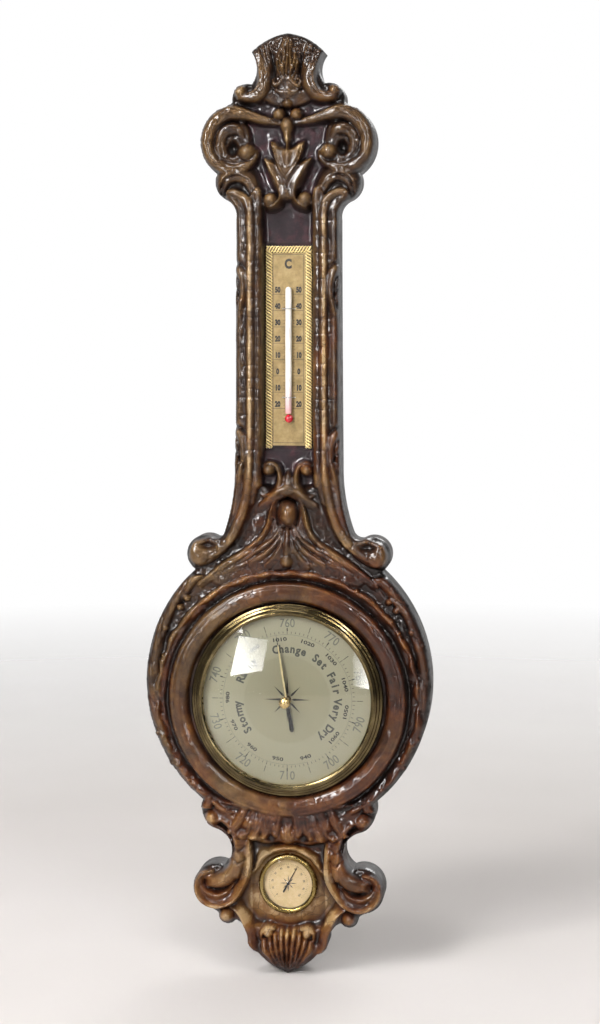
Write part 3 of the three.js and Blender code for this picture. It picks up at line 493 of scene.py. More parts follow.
def spline(rows, spacing=1.2):
    """Catmull-Rom through rows of numbers, the first two of which are the place."""
    rows = [np.array(r, dtype=float) for r in rows]
    rows = [2 * rows[0] - rows[1]] + rows + [2 * rows[-1] - rows[-2]]
    out = []
    for i in range(1, len(rows) - 2):
        p0, p1, p2, p3 = rows[i - 1:i + 3]
        count = max(2, int(np.linalg.norm((p2 - p1)[:2]) / spacing))
        for k in range(count):
            t = k / count
            out.append(0.5 * (2 * p1 + (p2 - p0) * t + (2 * p0 - 5 * p1 + 4 * p2 - p3) * t * t
                              + (3 * p1 - p0 - 3 * p2 + p3) * t ** 3))
    out.append(rows[-2])
    return np.array(out)


def inside_polygon(x, z, points):
    """Which grid points lie inside a closed ring, by crossings to their right."""
    flat_x, flat_z = x.ravel(), z.ravel()
    order = np.argsort(flat_z)
    sorted_z = flat_z[order]
    hit = np.zeros(flat_x.shape, dtype=bool)
    for (x0, z0), (x1, z1) in zip(points, np.roll(points, -1, axis=0)):
        i0, i1 = np.searchsorted(sorted_z, (min(z0, z1), max(z0, z1)))
        if i0 < i1:
            pick = order[i0:i1]
            cross = x0 + (flat_z[pick] - z0) * (x1 - x0) / (z1 - z0)
            hit[pick] ^= flat_x[pick] < cross
    return hit.reshape(x.shape)


def mirror_ring(half):
    """A ring from its right half, whose ends lie on the middle line."""
    return np.array(half + [(-x, z) for x, z in half[::-1]], dtype=float)


class Relief:
    """The case front as a height field, built up as a carver would: ground, then strokes.

    Each tool works on both sides of the middle, unless it is told both=False or lies on the
    middle line. Heights are over the back of the case.
    """

    def __init__(self):
        self.xs = np.arange(-138, 139) * STEP
        self.zs = np.arange(-259, 626) * STEP
        self.Z, self.X = np.meshgrid(self.zs, self.xs, indexing="ij")
        # the tools see a slightly warped place, so that no edge is quite true
        self.wx, self.wz = self.X + 0.5 * self.noise(22, 1), self.Z + 0.5 * self.noise(22, 2)
        self.H = np.full(self.X.shape, 27.5)
        self.panel = np.zeros(self.X.shape)
        self.bright = np.zeros(self.X.shape)
        self.radius = np.hypot(self.X, self.Z)

    def noise(self, cell, seed):
        return smooth_noise(self.X.shape, cell, seed)

    def window(self, x0, x1, z0, z1):
        i0, i1 = np.searchsorted(self.zs, (z0, z1))
        j0, j1 = np.searchsorted(self.xs, (x0, x1))
        return slice(max(i0 - 1, 0), i1 + 1), slice(max(j0 - 1, 0), j1 + 1)

    def near(self, path, reach):
        """Window, signed distance to the path, and the other columns of the path there."""
        lo, hi = path[:, :2].min(0) - reach, path[:, :2].max(0) + reach
        win = self.window(lo[0], hi[0], lo[1], hi[1])
        x, z = self.wx[win], self.wz[win]
        best = np.full(x.shape, 1e9)
        side = np.zeros(x.shape)
        extra = [np.zeros(x.shape) for _ in range(path.shape[1] - 2)]
        for a, b in zip(path, path[1:]):
            dx, dz = b[0] - a[0], b[1] - a[1]
            length = dx * dx + dz * dz
            if length < 1e-9:
                continue
            t = np.clip(((x - a[0]) * dx + (z - a[1]) * dz) / length, 0, 1)
            px, pz = x - a[0] - t * dx, z - a[1] - t * dz
            d = px * px + pz * pz
            better = d < best
            best = np.where(better, d, best)
            side = np.where(better, np.sign(dx * pz - dz * px), side)
            for c, column in enumerate(extra, 2):
                column[better] = (a[c] + t * (b[c] - a[c]))[better]
        return win, np.sqrt(best) * np.where(side == 0, 1, side), extra

    def paths(self, rows, both):
        """A smooth path through the rows for each side of the middle."""
        for sign in (1, -1) if both and any(row[0] for row in rows) else (1,):
            yield sign, spline([(sign * row[0], *row[1:]) for row in rows])

    def ovals(self, x, z, rx, rz, both, reach=1):
        """Window and squared distance, 1 on the rim, of an oval on each side of the middle."""
        for place in (x, -x) if both and x else (x,):
            win = self.window(place - reach * rx, place + reach * rx, z - reach * rz,
                              z + reach * rz)
            yield win, ((self.wx[win] - place) / rx) ** 2 + ((self.wz[win] - z) / rz) ** 2

    def raise_to(self, made, where, win=...):
        self.H[win] = np.where(where, np.maximum(self.H[win], made), self.H[win])

    def stroke(self, rows, shape="round", foot=None, both=True):
        """Rows of (x, z, half width, crest). Raised to the shape's profile across the stroke."""
        for sign, path in self.paths(rows, both):
            win, d, (half, crest) = self.near(path, path[:, 2].max())
            u = np.clip(d * sign / np.maximum(half, 0.2), -1, 1)
            base = self.H[win] if foot is None else foot
            self.raise_to(base + (crest - base) * PROFILES[shape](u), np.abs(u) < 1, win)

    def groove(self, rows, both=True):
        """Rows of (x, z, half width, depth): a cut with a round bottom."""
        for _, path in self.paths(rows, both):
            win, d, (half, deep) = self.near(path, path[:, 2].max() * 2)
            self.H[win] -= deep * bell(d, np.maximum(half, 0.2))

    def dome(self, x, z, rx, rz, crest, foot=None, both=True, power=0.5):
        for win, q in self.ovals(x, z, rx, rz, both):
            base = self.H[win] if foot is None else foot
            made = base + (crest - base) * np.clip(1 - q, 0, 1) ** power
            self.raise_to(made, q < 1, win)

    def plate(self, polygon, crest):
        """A flat-topped leaf with crisp sides."""
        half = np.array(polygon, dtype=float)
        for ring in [mirror_ring(polygon)] if polygon[0][0] == 0 else [half, half * (-1, 1)]:
            (x0, z0), (x1, z1) = ring.min(0) - 2, ring.max(0) + 2
            win = self.window(x0, x1, z0, z1)
            inside = inside_polygon(self.wx[win], self.wz[win], ring).astype(float)
            made = self.H[win] + (crest - self.H[win]) * blurred(inside, 1)
            self.raise_to(made, True, win)

    def pit(self, x, z, rx, rz, depth):
        for win, q in self.ovals(x, z, rx, rz, True, reach=2):
            self.H[win] -= depth * np.exp(-q ** 1.6)


def quarter(u, start):
    """A quarter round that falls from 1 at start to 0 at the edge."""
    return np.sqrt(np.clip(1 - ((u - start) / (1 - start)) ** 2, 0, 1))


def leaf_side(u):
    return np.where(u > 0.45, quarter(u, 0.45), 0.32 + 0.68 * ((u + 1) / 1.45) ** 1.6)


# height across a stroke, from its left side (-1) to its right side (1)
PROFILES = {
    "round": lambda u: quarter(u, 0),
    "ridge": lambda u: (1 - np.abs(u)) ** 0.9,
    "left": leaf_side,
    "right": lambda u: leaf_side(-u),
    "shelf": lambda u: np.where(u > 0.3, quarter(u, 0.3), 1.0 - 0.3 * (0.3 - u)),
    "slope": lambda u: np.clip((u + 1) / 2, 0, 1) ** 0.9,
}


def carve_head(r):
    """Crown, side lobes with their volutes, shield leaf, and the arches over the rails."""
    # crown: fan with flutes, side mouldings, plume
    r.dome(0, 474, 30, 31, 31, foot=27, power=0.35)
    for x0, x1, w in ((10.5, 13.5, 1.5), (12.6, 17.5, 1.6), (14.8, 21.5, 1.7), (17.5, 25.4, 1.8)):
        r.stroke([(x0, 458, 0.9, 31), (x0 + 0.6, 470, w, 33), ((x0 + x1) / 2 + 1.5, 481, w, 33.4),
                  (x1 + 1.6, 491, w * 0.7, 31.6)], "ridge")
    r.groove([(9.6, 457, 1.3, 3.2), (10, 470, 1.6, 4), (11.4, 483, 1.5, 2.6)])
    r.stroke([(27, 487, 3, 31), (22.6, 480.5, 3.8, 33), (18.4, 471, 4.6, 34.4),
              (17.2, 462, 5.2, 35), (20.8, 454.2, 5.2, 34.8), (27.5, 451, 4.6, 34),
              (35, 451.2, 3.6, 32.4)])
    r.stroke([(24.6, 483, 0.9, 34.6), (20.6, 472, 1.1, 35.8), (20, 463, 1.1, 36.4),
              (23, 456.6, 1.1, 36), (28.6, 453.6, 0.9, 35)], "ridge")
    r.dome(35.6, 455.8, 5.4, 5.4, 34.6, foot=26)
    r.stroke([(0, 456, 6.5, 32), (0, 468, 8.6, 33), (0, 480, 8, 33.4), (0, 490, 5.4, 33),
              (0, 497, 2.2, 31)])
    for k, (x, top) in enumerate(((0.0, 496), (2.9, 493.5), (5.6, 487.5), (8.2, 480))):
        bend = 1.1 if k % 2 else -0.8
        r.stroke([(x * 0.35, 463, 0.8, 33.6), (x * 0.7 + bend, 470, 1.1, 35),
                  (x * 1.02 - bend * 0.6, (474 + top) / 2, 1.3, 35.6), (x, top, 0.5, 33)], "ridge",
                 both=k > 0)
        r.groove([(x * 0.55 + 1.1, 465, 0.5, 1.6), (x * 0.9 + 1.4, 475, 0.6, 1.8),
                  (x + 1.2, top - 7, 0.4, 1)])
    r.stroke([(1.6, 466, 0.9, 33.6), (5, 461.4, 1.5, 34.4), (8.8, 459.2, 1.8, 34.4),
              (10, 463, 1.2, 33), (8, 465, 0.7, 31.6)])
    r.stroke([(0.6, 455, 1.6, 33), (4.6, 454, 1.7, 33), (8.6, 456.4, 1.2, 31.8)])

    # side lobes and the long arms that curl into the volutes
    r.dome(47, 418, 19, 25, 31, foot=26, power=0.3)
    r.stroke([(2, 430.6, 2.2, 29.5), (9, 431.4, 2.6, 30.6), (17, 433.4, 3.3, 32),
              (26, 436.4, 4.2, 33.6), (36, 439.4, 5.4, 35), (46, 439.4, 6.6, 36),
              (55, 433, 7, 36.4), (60, 423.5, 6.6, 36.4), (60.6, 413.5, 6.2, 36),
              (56.8, 405, 5.6, 35.4), (50, 399.4, 4.8, 34.4), (42.5, 397.6, 4.2, 33.6),
              (35.5, 398.6, 3.8, 33), (29, 401.2, 3.4, 32.6), (24.8, 405.6, 2.8, 31.6),
              (24, 410.5, 2, 30)])
    r.stroke([(12, 434.4, 0.8, 33), (26, 439, 1, 35.4), (38, 443, 1.1, 36.4), (48, 442.6, 1.2, 37)],
             "ridge")
    r.stroke([(34, 422.5, 1.8, 31.6), (37.5, 426.4, 4, 33.6), (44, 427.6, 4.8, 34),
              (49.6, 423.6, 4.8, 33.6), (51.4, 417, 4.4, 32.6), (50, 410, 4, 31.6),
              (46, 404.8, 3.4, 31), (39, 402.6, 3, 31)])
    r.groove([(30, 431.4, 0.9, 2.6), (40, 433, 1, 3.2), (48.6, 430.4, 1, 3), (54, 423, 0.9, 2.6),
              (55, 413, 0.9, 2.6), (51.5, 405, 0.9, 2.2)])
    r.groove([(39, 422.6, 0.8, 1.6), (44.6, 421.6, 0.8, 2), (46.6, 415, 0.8, 2)])
    r.pit(41.6, 412.8, 3.6, 5.4, 8)
    r.dome(31, 410, 7, 7, 36.4, foot=25)
    r.dome(0, 446, 4.6, 4.2, 34, foot=23)
    r.dome(6.5, 437.8, 5.4, 5.2, 35.4, foot=24)
    r.dome(0, 430, 5.8, 6.6, 35, foot=24)
    r.stroke([(0, 426, 4.4, 32.4), (0, 420, 3.6, 32)])

    # shield leaf in two tiers over a pair of volutes
    r.plate([(0, 373), (6.4, 376), (11, 386), (15, 395), (19, 405.6), (12.5, 404), (8, 401),
             (0, 400)], 32.4)
    r.plate([(0, 390), (4.6, 396.5), (9.4, 405), (12.6, 418), (6.8, 415.4), (0, 411.6)], 34)
    r.stroke([(12.4, 417.4, 0.8, 34.4), (9.2, 405.6, 0.9, 35), (4.6, 396.6, 0.9, 35),
              (0.3, 390, 0.8, 34.4)], "ridge")
    r.stroke([(0, 424, 2.2, 33.6), (0, 414, 2, 34.6), (0, 402, 1.2, 34.4), (0, 392, 0.7, 33)],
             "ridge")
    r.groove([(5.4, 413.6, 2.2, 1.6), (4.4, 407, 1.8, 1.4), (2.2, 399, 0.9, 0.8)])
    r.stroke([(17, 404.6, 1.2, 32.4), (12.6, 397.6, 1.8, 33.6), (7.4, 390, 2.2, 34),
              (4.4, 382, 2.6, 34.2), (4.6, 374.6, 3, 34.4), (8.4, 369.2, 3.4, 34.6),
              (14, 367.4, 3, 34), (19, 370.4, 2.2, 32)], "left")
    r.groove([(13.6, 393.6, 0.8, 1.8), (9.4, 386, 0.9, 2), (7.6, 379.6, 0.8, 1.6)])
    r.dome(13.4, 374.2, 6, 5.8, 35.8, foot=26)
    r.dome(0, 379, 2.8, 4.4, 35, foot=25)

    # arches over the rails
    r.stroke([(23.4, 376, 2.6, 30), (25, 383, 3.2, 32), (28.4, 389.6, 3.6, 33.4),
              (35.4, 395, 4, 34.6), (43.4, 395.6, 4.2, 35), (50, 391.6, 4.2, 34.6),
              (53, 385, 3.6, 33), (53, 379, 2.8, 31)], "right")
    r.stroke([(27.8, 380, 1.8, 30.6), (31.4, 387, 2.4, 32), (38, 390.6, 2.8, 33),
              (45, 388.6, 2.8, 32.6), (48.8, 382, 2.2, 31)])
    r.groove([(26.4, 381.6, 0.6, 1.8), (30, 389, 0.7, 2.2), (38, 392.9, 0.7, 2.4),
              (46.4, 390.8, 0.7, 2.2), (50.4, 383.4, 0.6, 1.8)])


def carve_rails(r):
    """The two rails along the thermometer, down to the shoulder hooks."""
    # inner slope, outer roll and crest bead of each rail
    slope = [(23.6, 376, 5, 33.6), (23.2, 362, 5.2, 35.4), (23.2, 300, 5.2, 35.4),
             (23.4, 220, 5.2, 35.4), (24, 180, 5.2, 35.2), (26.2, 158, 5.2, 34.8),
             (30.6, 138, 5.2, 34.4), (38.4, 121, 5.2, 34), (48, 111.4, 4.8, 33), (58, 106, 4.2, 32)]
    r.stroke(slope, "slope", foot=25)
    roll = [(41, 377, 6.4, 33.6), (36.4, 370, 6.6, 34.6), (34.2, 360, 6.6, 34.8),
            (34, 300, 6.6, 34.8), (34.2, 220, 6.6, 34.8), (34.8, 180, 6.8, 34.8),
            (36.8, 158, 7.2, 35), (41, 138, 7.6, 35.2), (47.6, 124, 8.2, 35.2),
            (56, 114.4, 8.8, 35), (65, 108.6, 9.2, 34.4)]
    r.stroke(roll, "shelf", foot=27)
    line = [(44, 380, 2.2, 34.4), (37.4, 379, 2.8, 35.4), (31.4, 374.4, 3.2, 36),
            (28.2, 366, 3.3, 36.3), (27.6, 350, 3.3, 36.4), (27.6, 300, 3.3, 36.4),
            (27.8, 220, 3.3, 36.4), (28.4, 180, 3.3, 36.4), (30.2, 158, 3.3, 36.3),
            (34.4, 138.6, 3.4, 36.1), (41.8, 122, 3.4, 35.8), (50.8, 112.6, 3.2, 35.2),
            (60, 106.8, 2.8, 34.4)]
    r.stroke([(23.6, 374, 2.8, 32.4), (23, 364, 3.9, 33.8), (23, 180, 3.9, 33.8),
              (24.4, 164, 3.4, 33.4), (28, 148, 3, 32.4)], foot=30)
    r.stroke(line, foot=34.2)
    r.groove([(30.6, 366, 0.6, 0.7), (30.1, 300, 0.6, 0.7), (30.4, 220, 0.6, 0.7),
              (31.2, 180, 0.6, 0.7), (33.2, 158, 0.6, 0.8), (37.4, 140, 0.7, 0.8),
              (44.6, 125, 0.7, 0.7)])
    # fine cracks across the rails
    rng = np.random.default_rng(15)
    for side in (-1, 1):
        z = 186.0
        while z < 372:
            lean = rng.uniform(-1.2, 1.2)
            reach = rng.uniform(31, 38)
            r.groove([(side * 21, z, 0.55, 0.5), (side * 27, z + lean, 0.55, 0.9),
                      (side * reach, z - lean, 0.5, 0.4)], both=False)
            z += rng.uniform(6, 15)
    # leaf tongues that overlap the roll
    for z in (322, 199):
        r.plate([(29.6, z - 8), (32, z + 1), (38, z + 3), (40, z - 6), (37.6, z - 13), (40, z - 24),
                 (36, z - 38), (32.6, z - 24)], 36)
        r.stroke([(38.4, z + 1, 1.2, 35.8), (34.6, z - 5, 1.9, 36.6), (33, z - 14, 2.2, 36.6),
                  (34.6, z - 26, 1.6, 37), (37.4, z - 36, 0.6, 35.8)], "ridge")
        r.groove([(39, z - 3, 1, 3.4), (36.4, z - 9, 1.1, 3.6), (36, z - 18, 1, 3.2),
                  (38, z - 30, 0.7, 2)])
        r.groove([(40, z + 5, 1.8, 4.4), (35.6, z + 4, 1.4, 3.6), (31.4, z, 0.9, 2.4)])
        r.groove([(40, z - 13, 1.2, 3.4), (37, z - 16, 1, 2.6), (34.6, z - 22, 0.7, 1.4)])
    # shoulder hooks
    r.dome(67.8, 107.2, 7.8, 8.6, 36, power=0.45)
    r.pit(60.4, 114.8, 5.4, 3, 5)
    r.stroke([(72.6, 110, 1.6, 34.4), (70, 115.4, 2.2, 34.8), (64, 117.6, 2, 33.8)])


def carve_neck_foot(r):
    """The spread of leaves between the thermometer and the dial."""
    r.plate([(0, 152), (6, 150), (10, 141), (13, 130), (19, 118), (30, 108), (46, 99), (60, 90),
             (54, 84), (36, 90), (18, 95), (0, 97)], 30.5)
    # volutes over dark hollows, joined by a saddle
    r.stroke([(19, 175, 1.4, 29), (14, 177, 2, 31), (8.4, 174.4, 2.6, 32), (6.2, 168, 2.8, 32.4),
              (6.8, 161, 2.8, 32.4), (10.4, 154.8, 2.4, 31.6), (16, 152, 2, 30.6),
              (20, 153, 1.4, 29)])
    r.dome(14.2, 171.6, 5.4, 5.2, 34.6, foot=24)
    r.stroke([(0, 170, 1.6, 28), (0, 164, 6, 31.4), (0, 158.5, 6.6, 32)])
    r.pit(13, 161.6, 4, 5.4, 4)
    r.stroke([(0, 156.4, 4, 34), (6, 153.6, 4.2, 34), (12.4, 149, 4, 33), (19.4, 144.8, 3.2, 30.6)],
             "left")
    r.groove([(0, 150.6, 1, 3), (6, 148.4, 1, 3), (12, 144.4, 0.9, 2.4)])
    # cabochon and its frame
    r.dome(0.4, 138.8, 6.8, 10, 36.8, foot=27, both=False)
    r.groove([(0, 150.4, 0.7, 2), (5.6, 147.6, 0.8, 3), (7.9, 139, 0.8, 3), (6.4, 130, 0.8, 3),
              (0, 127.2, 0.7, 2)])
    # leaf folds that spread from under the cabochon
    for rows in (
        [(4, 130, 1.6, 31.6), (9.6, 119, 3.0, 33.6), (20, 110.4, 4.2, 34.4), (34, 103.6, 4.6, 34.2),
         (47, 96.4, 3.4, 32.6)],
        [(3.4, 126, 1.6, 32.4), (7.4, 115.4, 3.2, 34.2), (15, 107.4, 4.0, 34.6),
         (26, 100.6, 3.4, 33.4)],
        [(2.4, 121, 1.4, 33), (4.8, 112, 2.8, 34.6), (9, 105, 3.2, 34.4), (15, 99.4, 2.2, 32.8)],
    ):
        r.stroke(rows, "left")
    for rows in ([(7.4, 122, 0.6, 1.4), (15, 113, 0.8, 1.8), (27, 105.4, 0.8, 1.8),
                  (40, 99, 0.7, 1.4)],
                 [(5.6, 118, 0.6, 1.4), (11, 109.4, 0.8, 1.8), (20, 102.4, 0.7, 1.4)]):
        r.groove(rows)
    r.stroke([(0, 127, 1.6, 33), (0, 117, 2.6, 35), (0, 108, 3, 34)])
    r.dome(-0.6, 103.4, 5.4, 5.4, 36, foot=27, both=False)
    # the rim of the leaf flows outwards over the belly's shoulder
    r.stroke([(7.6, 152, 1.4, 31), (11.6, 141, 2.2, 33), (14.6, 129, 2.6, 34), (21, 117.8, 3, 34.4),
              (31.6, 109.4, 3.4, 34.6), (43, 102.4, 3.4, 34.4), (54, 94.6, 3.2, 33.6),
              (66, 85, 2.8, 32)], "left")
    r.groove([(10.6, 135, 0.7, 2.2), (15, 122.6, 0.8, 2.6), (24, 111.6, 0.9, 2.8),
              (36, 103.6, 0.9, 2.6), (50, 94.6, 0.8, 2.2)])


def carve_foot(r):
    """Scrolls and great volutes round the hygrometer, palmette below, leaf swags above."""
    r.plate([(0, -80), (30, -78), (54, -76), (56, -84), (46, -88), (38, -96), (30, -106),
             (16, -109), (8, -106), (0, -110)], 31)
    # upper scroll, leaf segments and the great volute
    r.stroke([(56.6, -90.8, 5.6, 33), (50, -88.8, 4.8, 33.4), (43, -93.4, 5, 34),
              (38, -101.6, 5.2, 34.4), (36, -111, 5.2, 34.8), (35.4, -121, 5.4, 35.2),
              (36, -130, 5.4, 35.4)], "left")
    r.dome(57, -90.4, 7, 6.6, 35, foot=24)
    r.stroke([(62, -96, 1.6, 31), (54, -98, 2.4, 32), (47.4, -102.8, 2.6, 32.6),
              (43, -110.6, 2.8, 33), (43, -119, 2.8, 33)])
    r.groove([(51, -94.4, 0.8, 2.2), (44, -100.4, 0.9, 2.6), (40.6, -110, 0.9, 2.6),
              (39.8, -119.4, 0.8, 2)])
    r.stroke([(30, -108, 1.6, 32), (29.4, -120, 2.4, 34.4), (30.6, -132, 3, 35.6),
              (36, -142.6, 3.6, 36), (44, -150.4, 4.4, 36.2), (53.4, -154, 4.8, 36),
              (62, -151.6, 4.8, 35.6), (67.2, -145.4, 4.2, 35), (67.4, -138.4, 3.6, 34),
              (63.6, -133.4, 3, 33), (57.6, -131.6, 2.2, 31.6)], "right")
    r.stroke([(38, -120, 5, 34.4), (40, -128, 6, 35), (45, -134.4, 6.8, 35.2),
              (51.4, -137.8, 6.8, 34.6), (58, -138.8, 5.2, 33)])
    r.pit(61, -139.2, 3, 2.6, 3)
    r.stroke([(65, -141.6, 0.9, 31.4), (61.4, -146, 2.4, 33.4), (54, -148.4, 3.4, 34),
              (46.4, -145.6, 3, 34), (40.4, -139.6, 1, 33)], "ridge")
    r.groove([(38.6, -136.6, 0.8, 2.4), (45.6, -142, 0.9, 2.8), (53.6, -143.8, 0.9, 2.8),
              (59.4, -142.6, 0.8, 2.2)])
    r.groove([(37, -146.6, 0.6, 1.4), (45, -152, 0.7, 1.6), (54, -153.6, 0.7, 1.6),
              (62, -150.6, 0.6, 1.2)])
    for z in (-104, -113, -122):
        r.groove([(31.6, z + 1.4, 0.7, 1.6), (36.6, z - 1.6, 0.8, 2.4), (41.4, z + 2.6, 0.7, 1.8)])
    # small volute and the edge band down to the palmette
    r.dome(46.8, -163, 6, 6, 35, foot=24)
    r.stroke([(43, -156.6, 1.6, 31), (38, -158.6, 3, 33), (33, -164, 3.8, 33.6),
              (29.4, -173.6, 4.2, 33.8), (27, -183, 4.2, 33.4), (21, -189.6, 3.8, 33),
              (13.6, -196, 3.4, 32.4), (6, -202, 2.6, 31)], "left")
    # palmette
    r.dome(0, -191, 24, 17, 32.4, foot=27, power=0.25)
    for x, w, top in ((18.6, 2.4, -181), (14.0, 2.4, -179), (9.4, 2.4, -176), (4.8, 2.2, -173.6),
                      (0, 2.0, -173)):
        r.stroke([(x * 0.96, top, w * 0.7, 33), (x * 0.92, top - 6, w, 35.4),
                  (x * 0.68, -191.5, w, 35), (x * 0.3, -201.6, w * 0.6, 32.4)])
    for x in (2.4, 7.1, 11.7, 16.3):
        r.groove([(x * 0.97, -177, 0.7, 1.8), (x * 0.84, -188, 0.9, 3), (x * 0.54, -197, 0.9, 3.2),
                  (x * 0.3, -203.4, 0.7, 2.2)])
    r.dome(14.4, -175.4, 3.8, 3.6, 35.2, foot=27)
    r.stroke([(20, -180, 1.2, 32), (19.2, -174.6, 1.6, 33), (15, -170.8, 1.8, 33.6),
              (10.4, -172, 1.6, 33)])
    # leaf swags over the shield, with a shell in the middle
    for x, z, w in ((7.6, -88, 3.0), (14.4, -90, 3.2), (21.6, -91, 3.2), (28.6, -90, 3.0),
                    (35.6, -87, 2.8)):
        r.stroke([(x * 0.82, z + 9, 1.4, 32), (x * 0.94, z + 2, w * 1.2, 34.2),
                  (x * 1.06, z - 6, w * 1.25, 34.6), (x * 1.2, z - 13, w, 33.6)])
        r.dome(x * 1.22, z - 13.4, 2.5, 2.1, 34.8, foot=29)
        r.groove([(x * 0.9, z + 4, 0.5, 0.9), (x * 1.04, z - 5, 0.6, 1.3),
                  (x * 1.16, z - 11, 0.5, 0.8)])
    r.stroke([(0, -84.6, 1.6, 34), (12, -84.4, 1.8, 34.4), (24, -82.6, 1.8, 34.4),
              (38, -79.6, 1.8, 34), (50, -77.6, 1.6, 33)], "ridge")
    r.dome(0.8, -100.4, 7, 8.4, 35, foot=26, both=False, power=0.45)
    for x in (-2.8, 0.8, 4.4):
        r.groove([(x, -94, 0.5, 1.8), (0.8 + (x - 0.8) * 0.4, -107, 0.4, 1)], both=False)
    r.pit(12.4, -104.6, 3.6, 3, 4)
    r.pit(33, -98.6, 3, 2.6, 4)


def carve_belly(r, edge):
    """Wood ring, dark groove, beaded ribbon and leafy garland round the dial."""
    radius, turn = r.radius, np.arctan2(r.X, r.Z)
    wave = 0.4 * r.noise(16, 5) + 0.25 * r.noise(7, 6)
    near = radius < 125
    body = (r.Z < 92) & (r.Z > -84) & near
    r.raise_to(28.0, body)

    # narrow wavy ribbon, then a plain slope down to the ring
    middle = 94.6 + 3.6 * np.abs(np.sin(turn)) ** 1.4
    slope = np.clip((radius - 90) / (middle - 90), 0, 1)
    r.raise_to(29.2 + 2.6 * slope,
               (r.Z < 100) & (r.Z > -88) & (radius > 90) & (radius < middle))
    pulse = np.cos(turn * 29 + 1.3 * np.sin(turn * 5)) * 0.5 + 0.5
    drift = middle + wave + 0.45 * np.sin(turn * 29 + 2 * np.sin(turn * 4))
    u = np.clip((radius - drift) / (1.5 + 0.9 * pulse), -1, 1)
    made = 30.0 + (32.6 + 1.7 * pulse - 30.0) * PROFILES["round"](u)
    r.raise_to(made, (r.Z < 99) & (r.Z > -86) & (np.abs(u) < 1) & near)
    # smooth outer roll with leaves laid over it
    s = edge + wave
    phase = turn * 13 + s * 0.26 + 0.9 * np.sin(turn * 3)
    u = np.clip((s - 4.2) / 5.4, -1, 1)
    leaf = np.abs(np.sin(phase))
    side = body & (np.abs(u) < 1) & (radius > 92)
    r.raise_to(27.0 + (31.8 + 1.2 * leaf ** 0.8 - 27.0) * PROFILES["round"](u), side)
    gate = 0.5 + 0.5 * np.sin(turn * 7 + 1.2)
    crease = (0.5 + 0.9 * gate) * bell(np.sin(phase), 0.14) * (1 - 0.5 * np.abs(u))
    r.H = np.where(side & (s > 1.2), r.H - crease, r.H)
    channel = bell(s - 9.0 - 0.7 * np.sin(phase * 2), 1.0)
    r.H = np.where(body & (radius > 94), r.H - 2.4 * gate * channel, r.H)
    # cut that separates the ring, then the ring, flat with a fine outer lip
    past = radius - (87.4 + 2.2 * np.sin(turn) ** 2)
    r.H = np.where(near & (past < 3) & (r.Z > -90), np.minimum(r.H, 29.6), r.H)
    r.H = np.where(near, r.H - 1.4 * bell(past + wave - 2.0, 1.2), r.H)
    ring = np.interp(past, [-14.6, -14, -12, -8, -4.6, -3, -2, -1.2, 0.2, 1.4],
                     [30, 33.0, 34.6, 35.8, 35.6, 34.8, 35.3, 35.0, 32.0, 28])
    r.H = np.where(past < 0.4, ring + 0.25 * r.noise(14, 8), r.H)
    # beads on the ribbon, unevenly spaced as cut by hand
    rng = np.random.default_rng(7)
    for k in range(30):
        a = 2 * math.pi * (k + rng.uniform(-0.3, 0.3)) / 30
        reach = 94.8 + 3.8 * abs(math.sin(a)) ** 1.4 + rng.uniform(-0.6, 0.6)
        x, z = reach * math.sin(a), reach * math.cos(a)
        if -82 < z < 84:
            r.dome(x, z, 1.9, 1.7, 34.4, foot=31, both=False)
    for x, z in ((76.5, 74.2), (81.8, 67.4), (93, 52), (98.6, -28), (88.4, -50)):
        r.dome(x, z, 2.6, 2.6, 34.4, foot=29)


HEAD_FIELD = [(0, 431), (20, 431), (33, 432.6), (38, 428), (35, 421), (38, 416), (38, 404),
              (28, 400), (24.4, 395), (21, 386), (18.4, 377), (9, 368), (0, 368)]
UPPER_FIELD = [(0, 452), (10, 453), (15, 449), (25, 445.6), (38, 446), (30, 441.6), (18, 437.5),
               (8, 436), (0, 436)]
FOOT_FIELD = [(0, -107), (14, -110), (24, -107), (29, -107), (27.6, -120), (28, -132),
              (33, -143), (38, -152), (33, -160), (27, -168), (19, -172), (9, -171), (0, -173)]


def carve_panels(r):
    """Sinks the plain fields, with soft walls."""
    neck = (np.abs(r.X) < 19.4) & (r.Z > 160) & (r.Z < 380)
    head, upper, foot = (inside_polygon(r.X, r.Z, mirror_ring(field))
                         for field in (HEAD_FIELD, UPPER_FIELD, FOOT_FIELD))
    # the last number is the share of the fields' own dark colour
    for inside, floor, seed, share in ((neck, 20.0, 11, 1.0), (head, 22.0, 12, 1.0),
                                       (upper, 23.0, 14, 0.8), (foot, 21.0, 13, 0.0)):
        mask = blurred(inside.astype(float), 1)
        level = floor + 0.4 * r.noise(9, seed) + 0.2 * r.noise(4, seed + 50)
        r.H = r.H * (1 - mask) + level * mask
        r.panel = np.maximum(r.panel, mask * share)
    r.bright = blurred(mask, 5)


def hygrometer_seat(r):
    """A flat seat in the foot, with a rough raised collar over its upper half."""
    q = np.hypot(r.X, r.Z + HYGRO_DROP)
    turn = np.arctan2(r.X, r.Z + HYGRO_DROP)
    rough = r.noise(5, 21)
    rim = bell(q - 27.0 - 1.0 * rough, 2.6) * np.clip(np.cos(turn) + 0.3, 0, 1)
    r.H = np.maximum(r.H, 21 + 9.6 * rim * (1 + 0.15 * rough))
    r.raise_to(24.4 - 0.34 * (q - 24.8), (q > 23) & (q < 34))
    r.H = np.where(q < 24.8, 24.0, r.H)


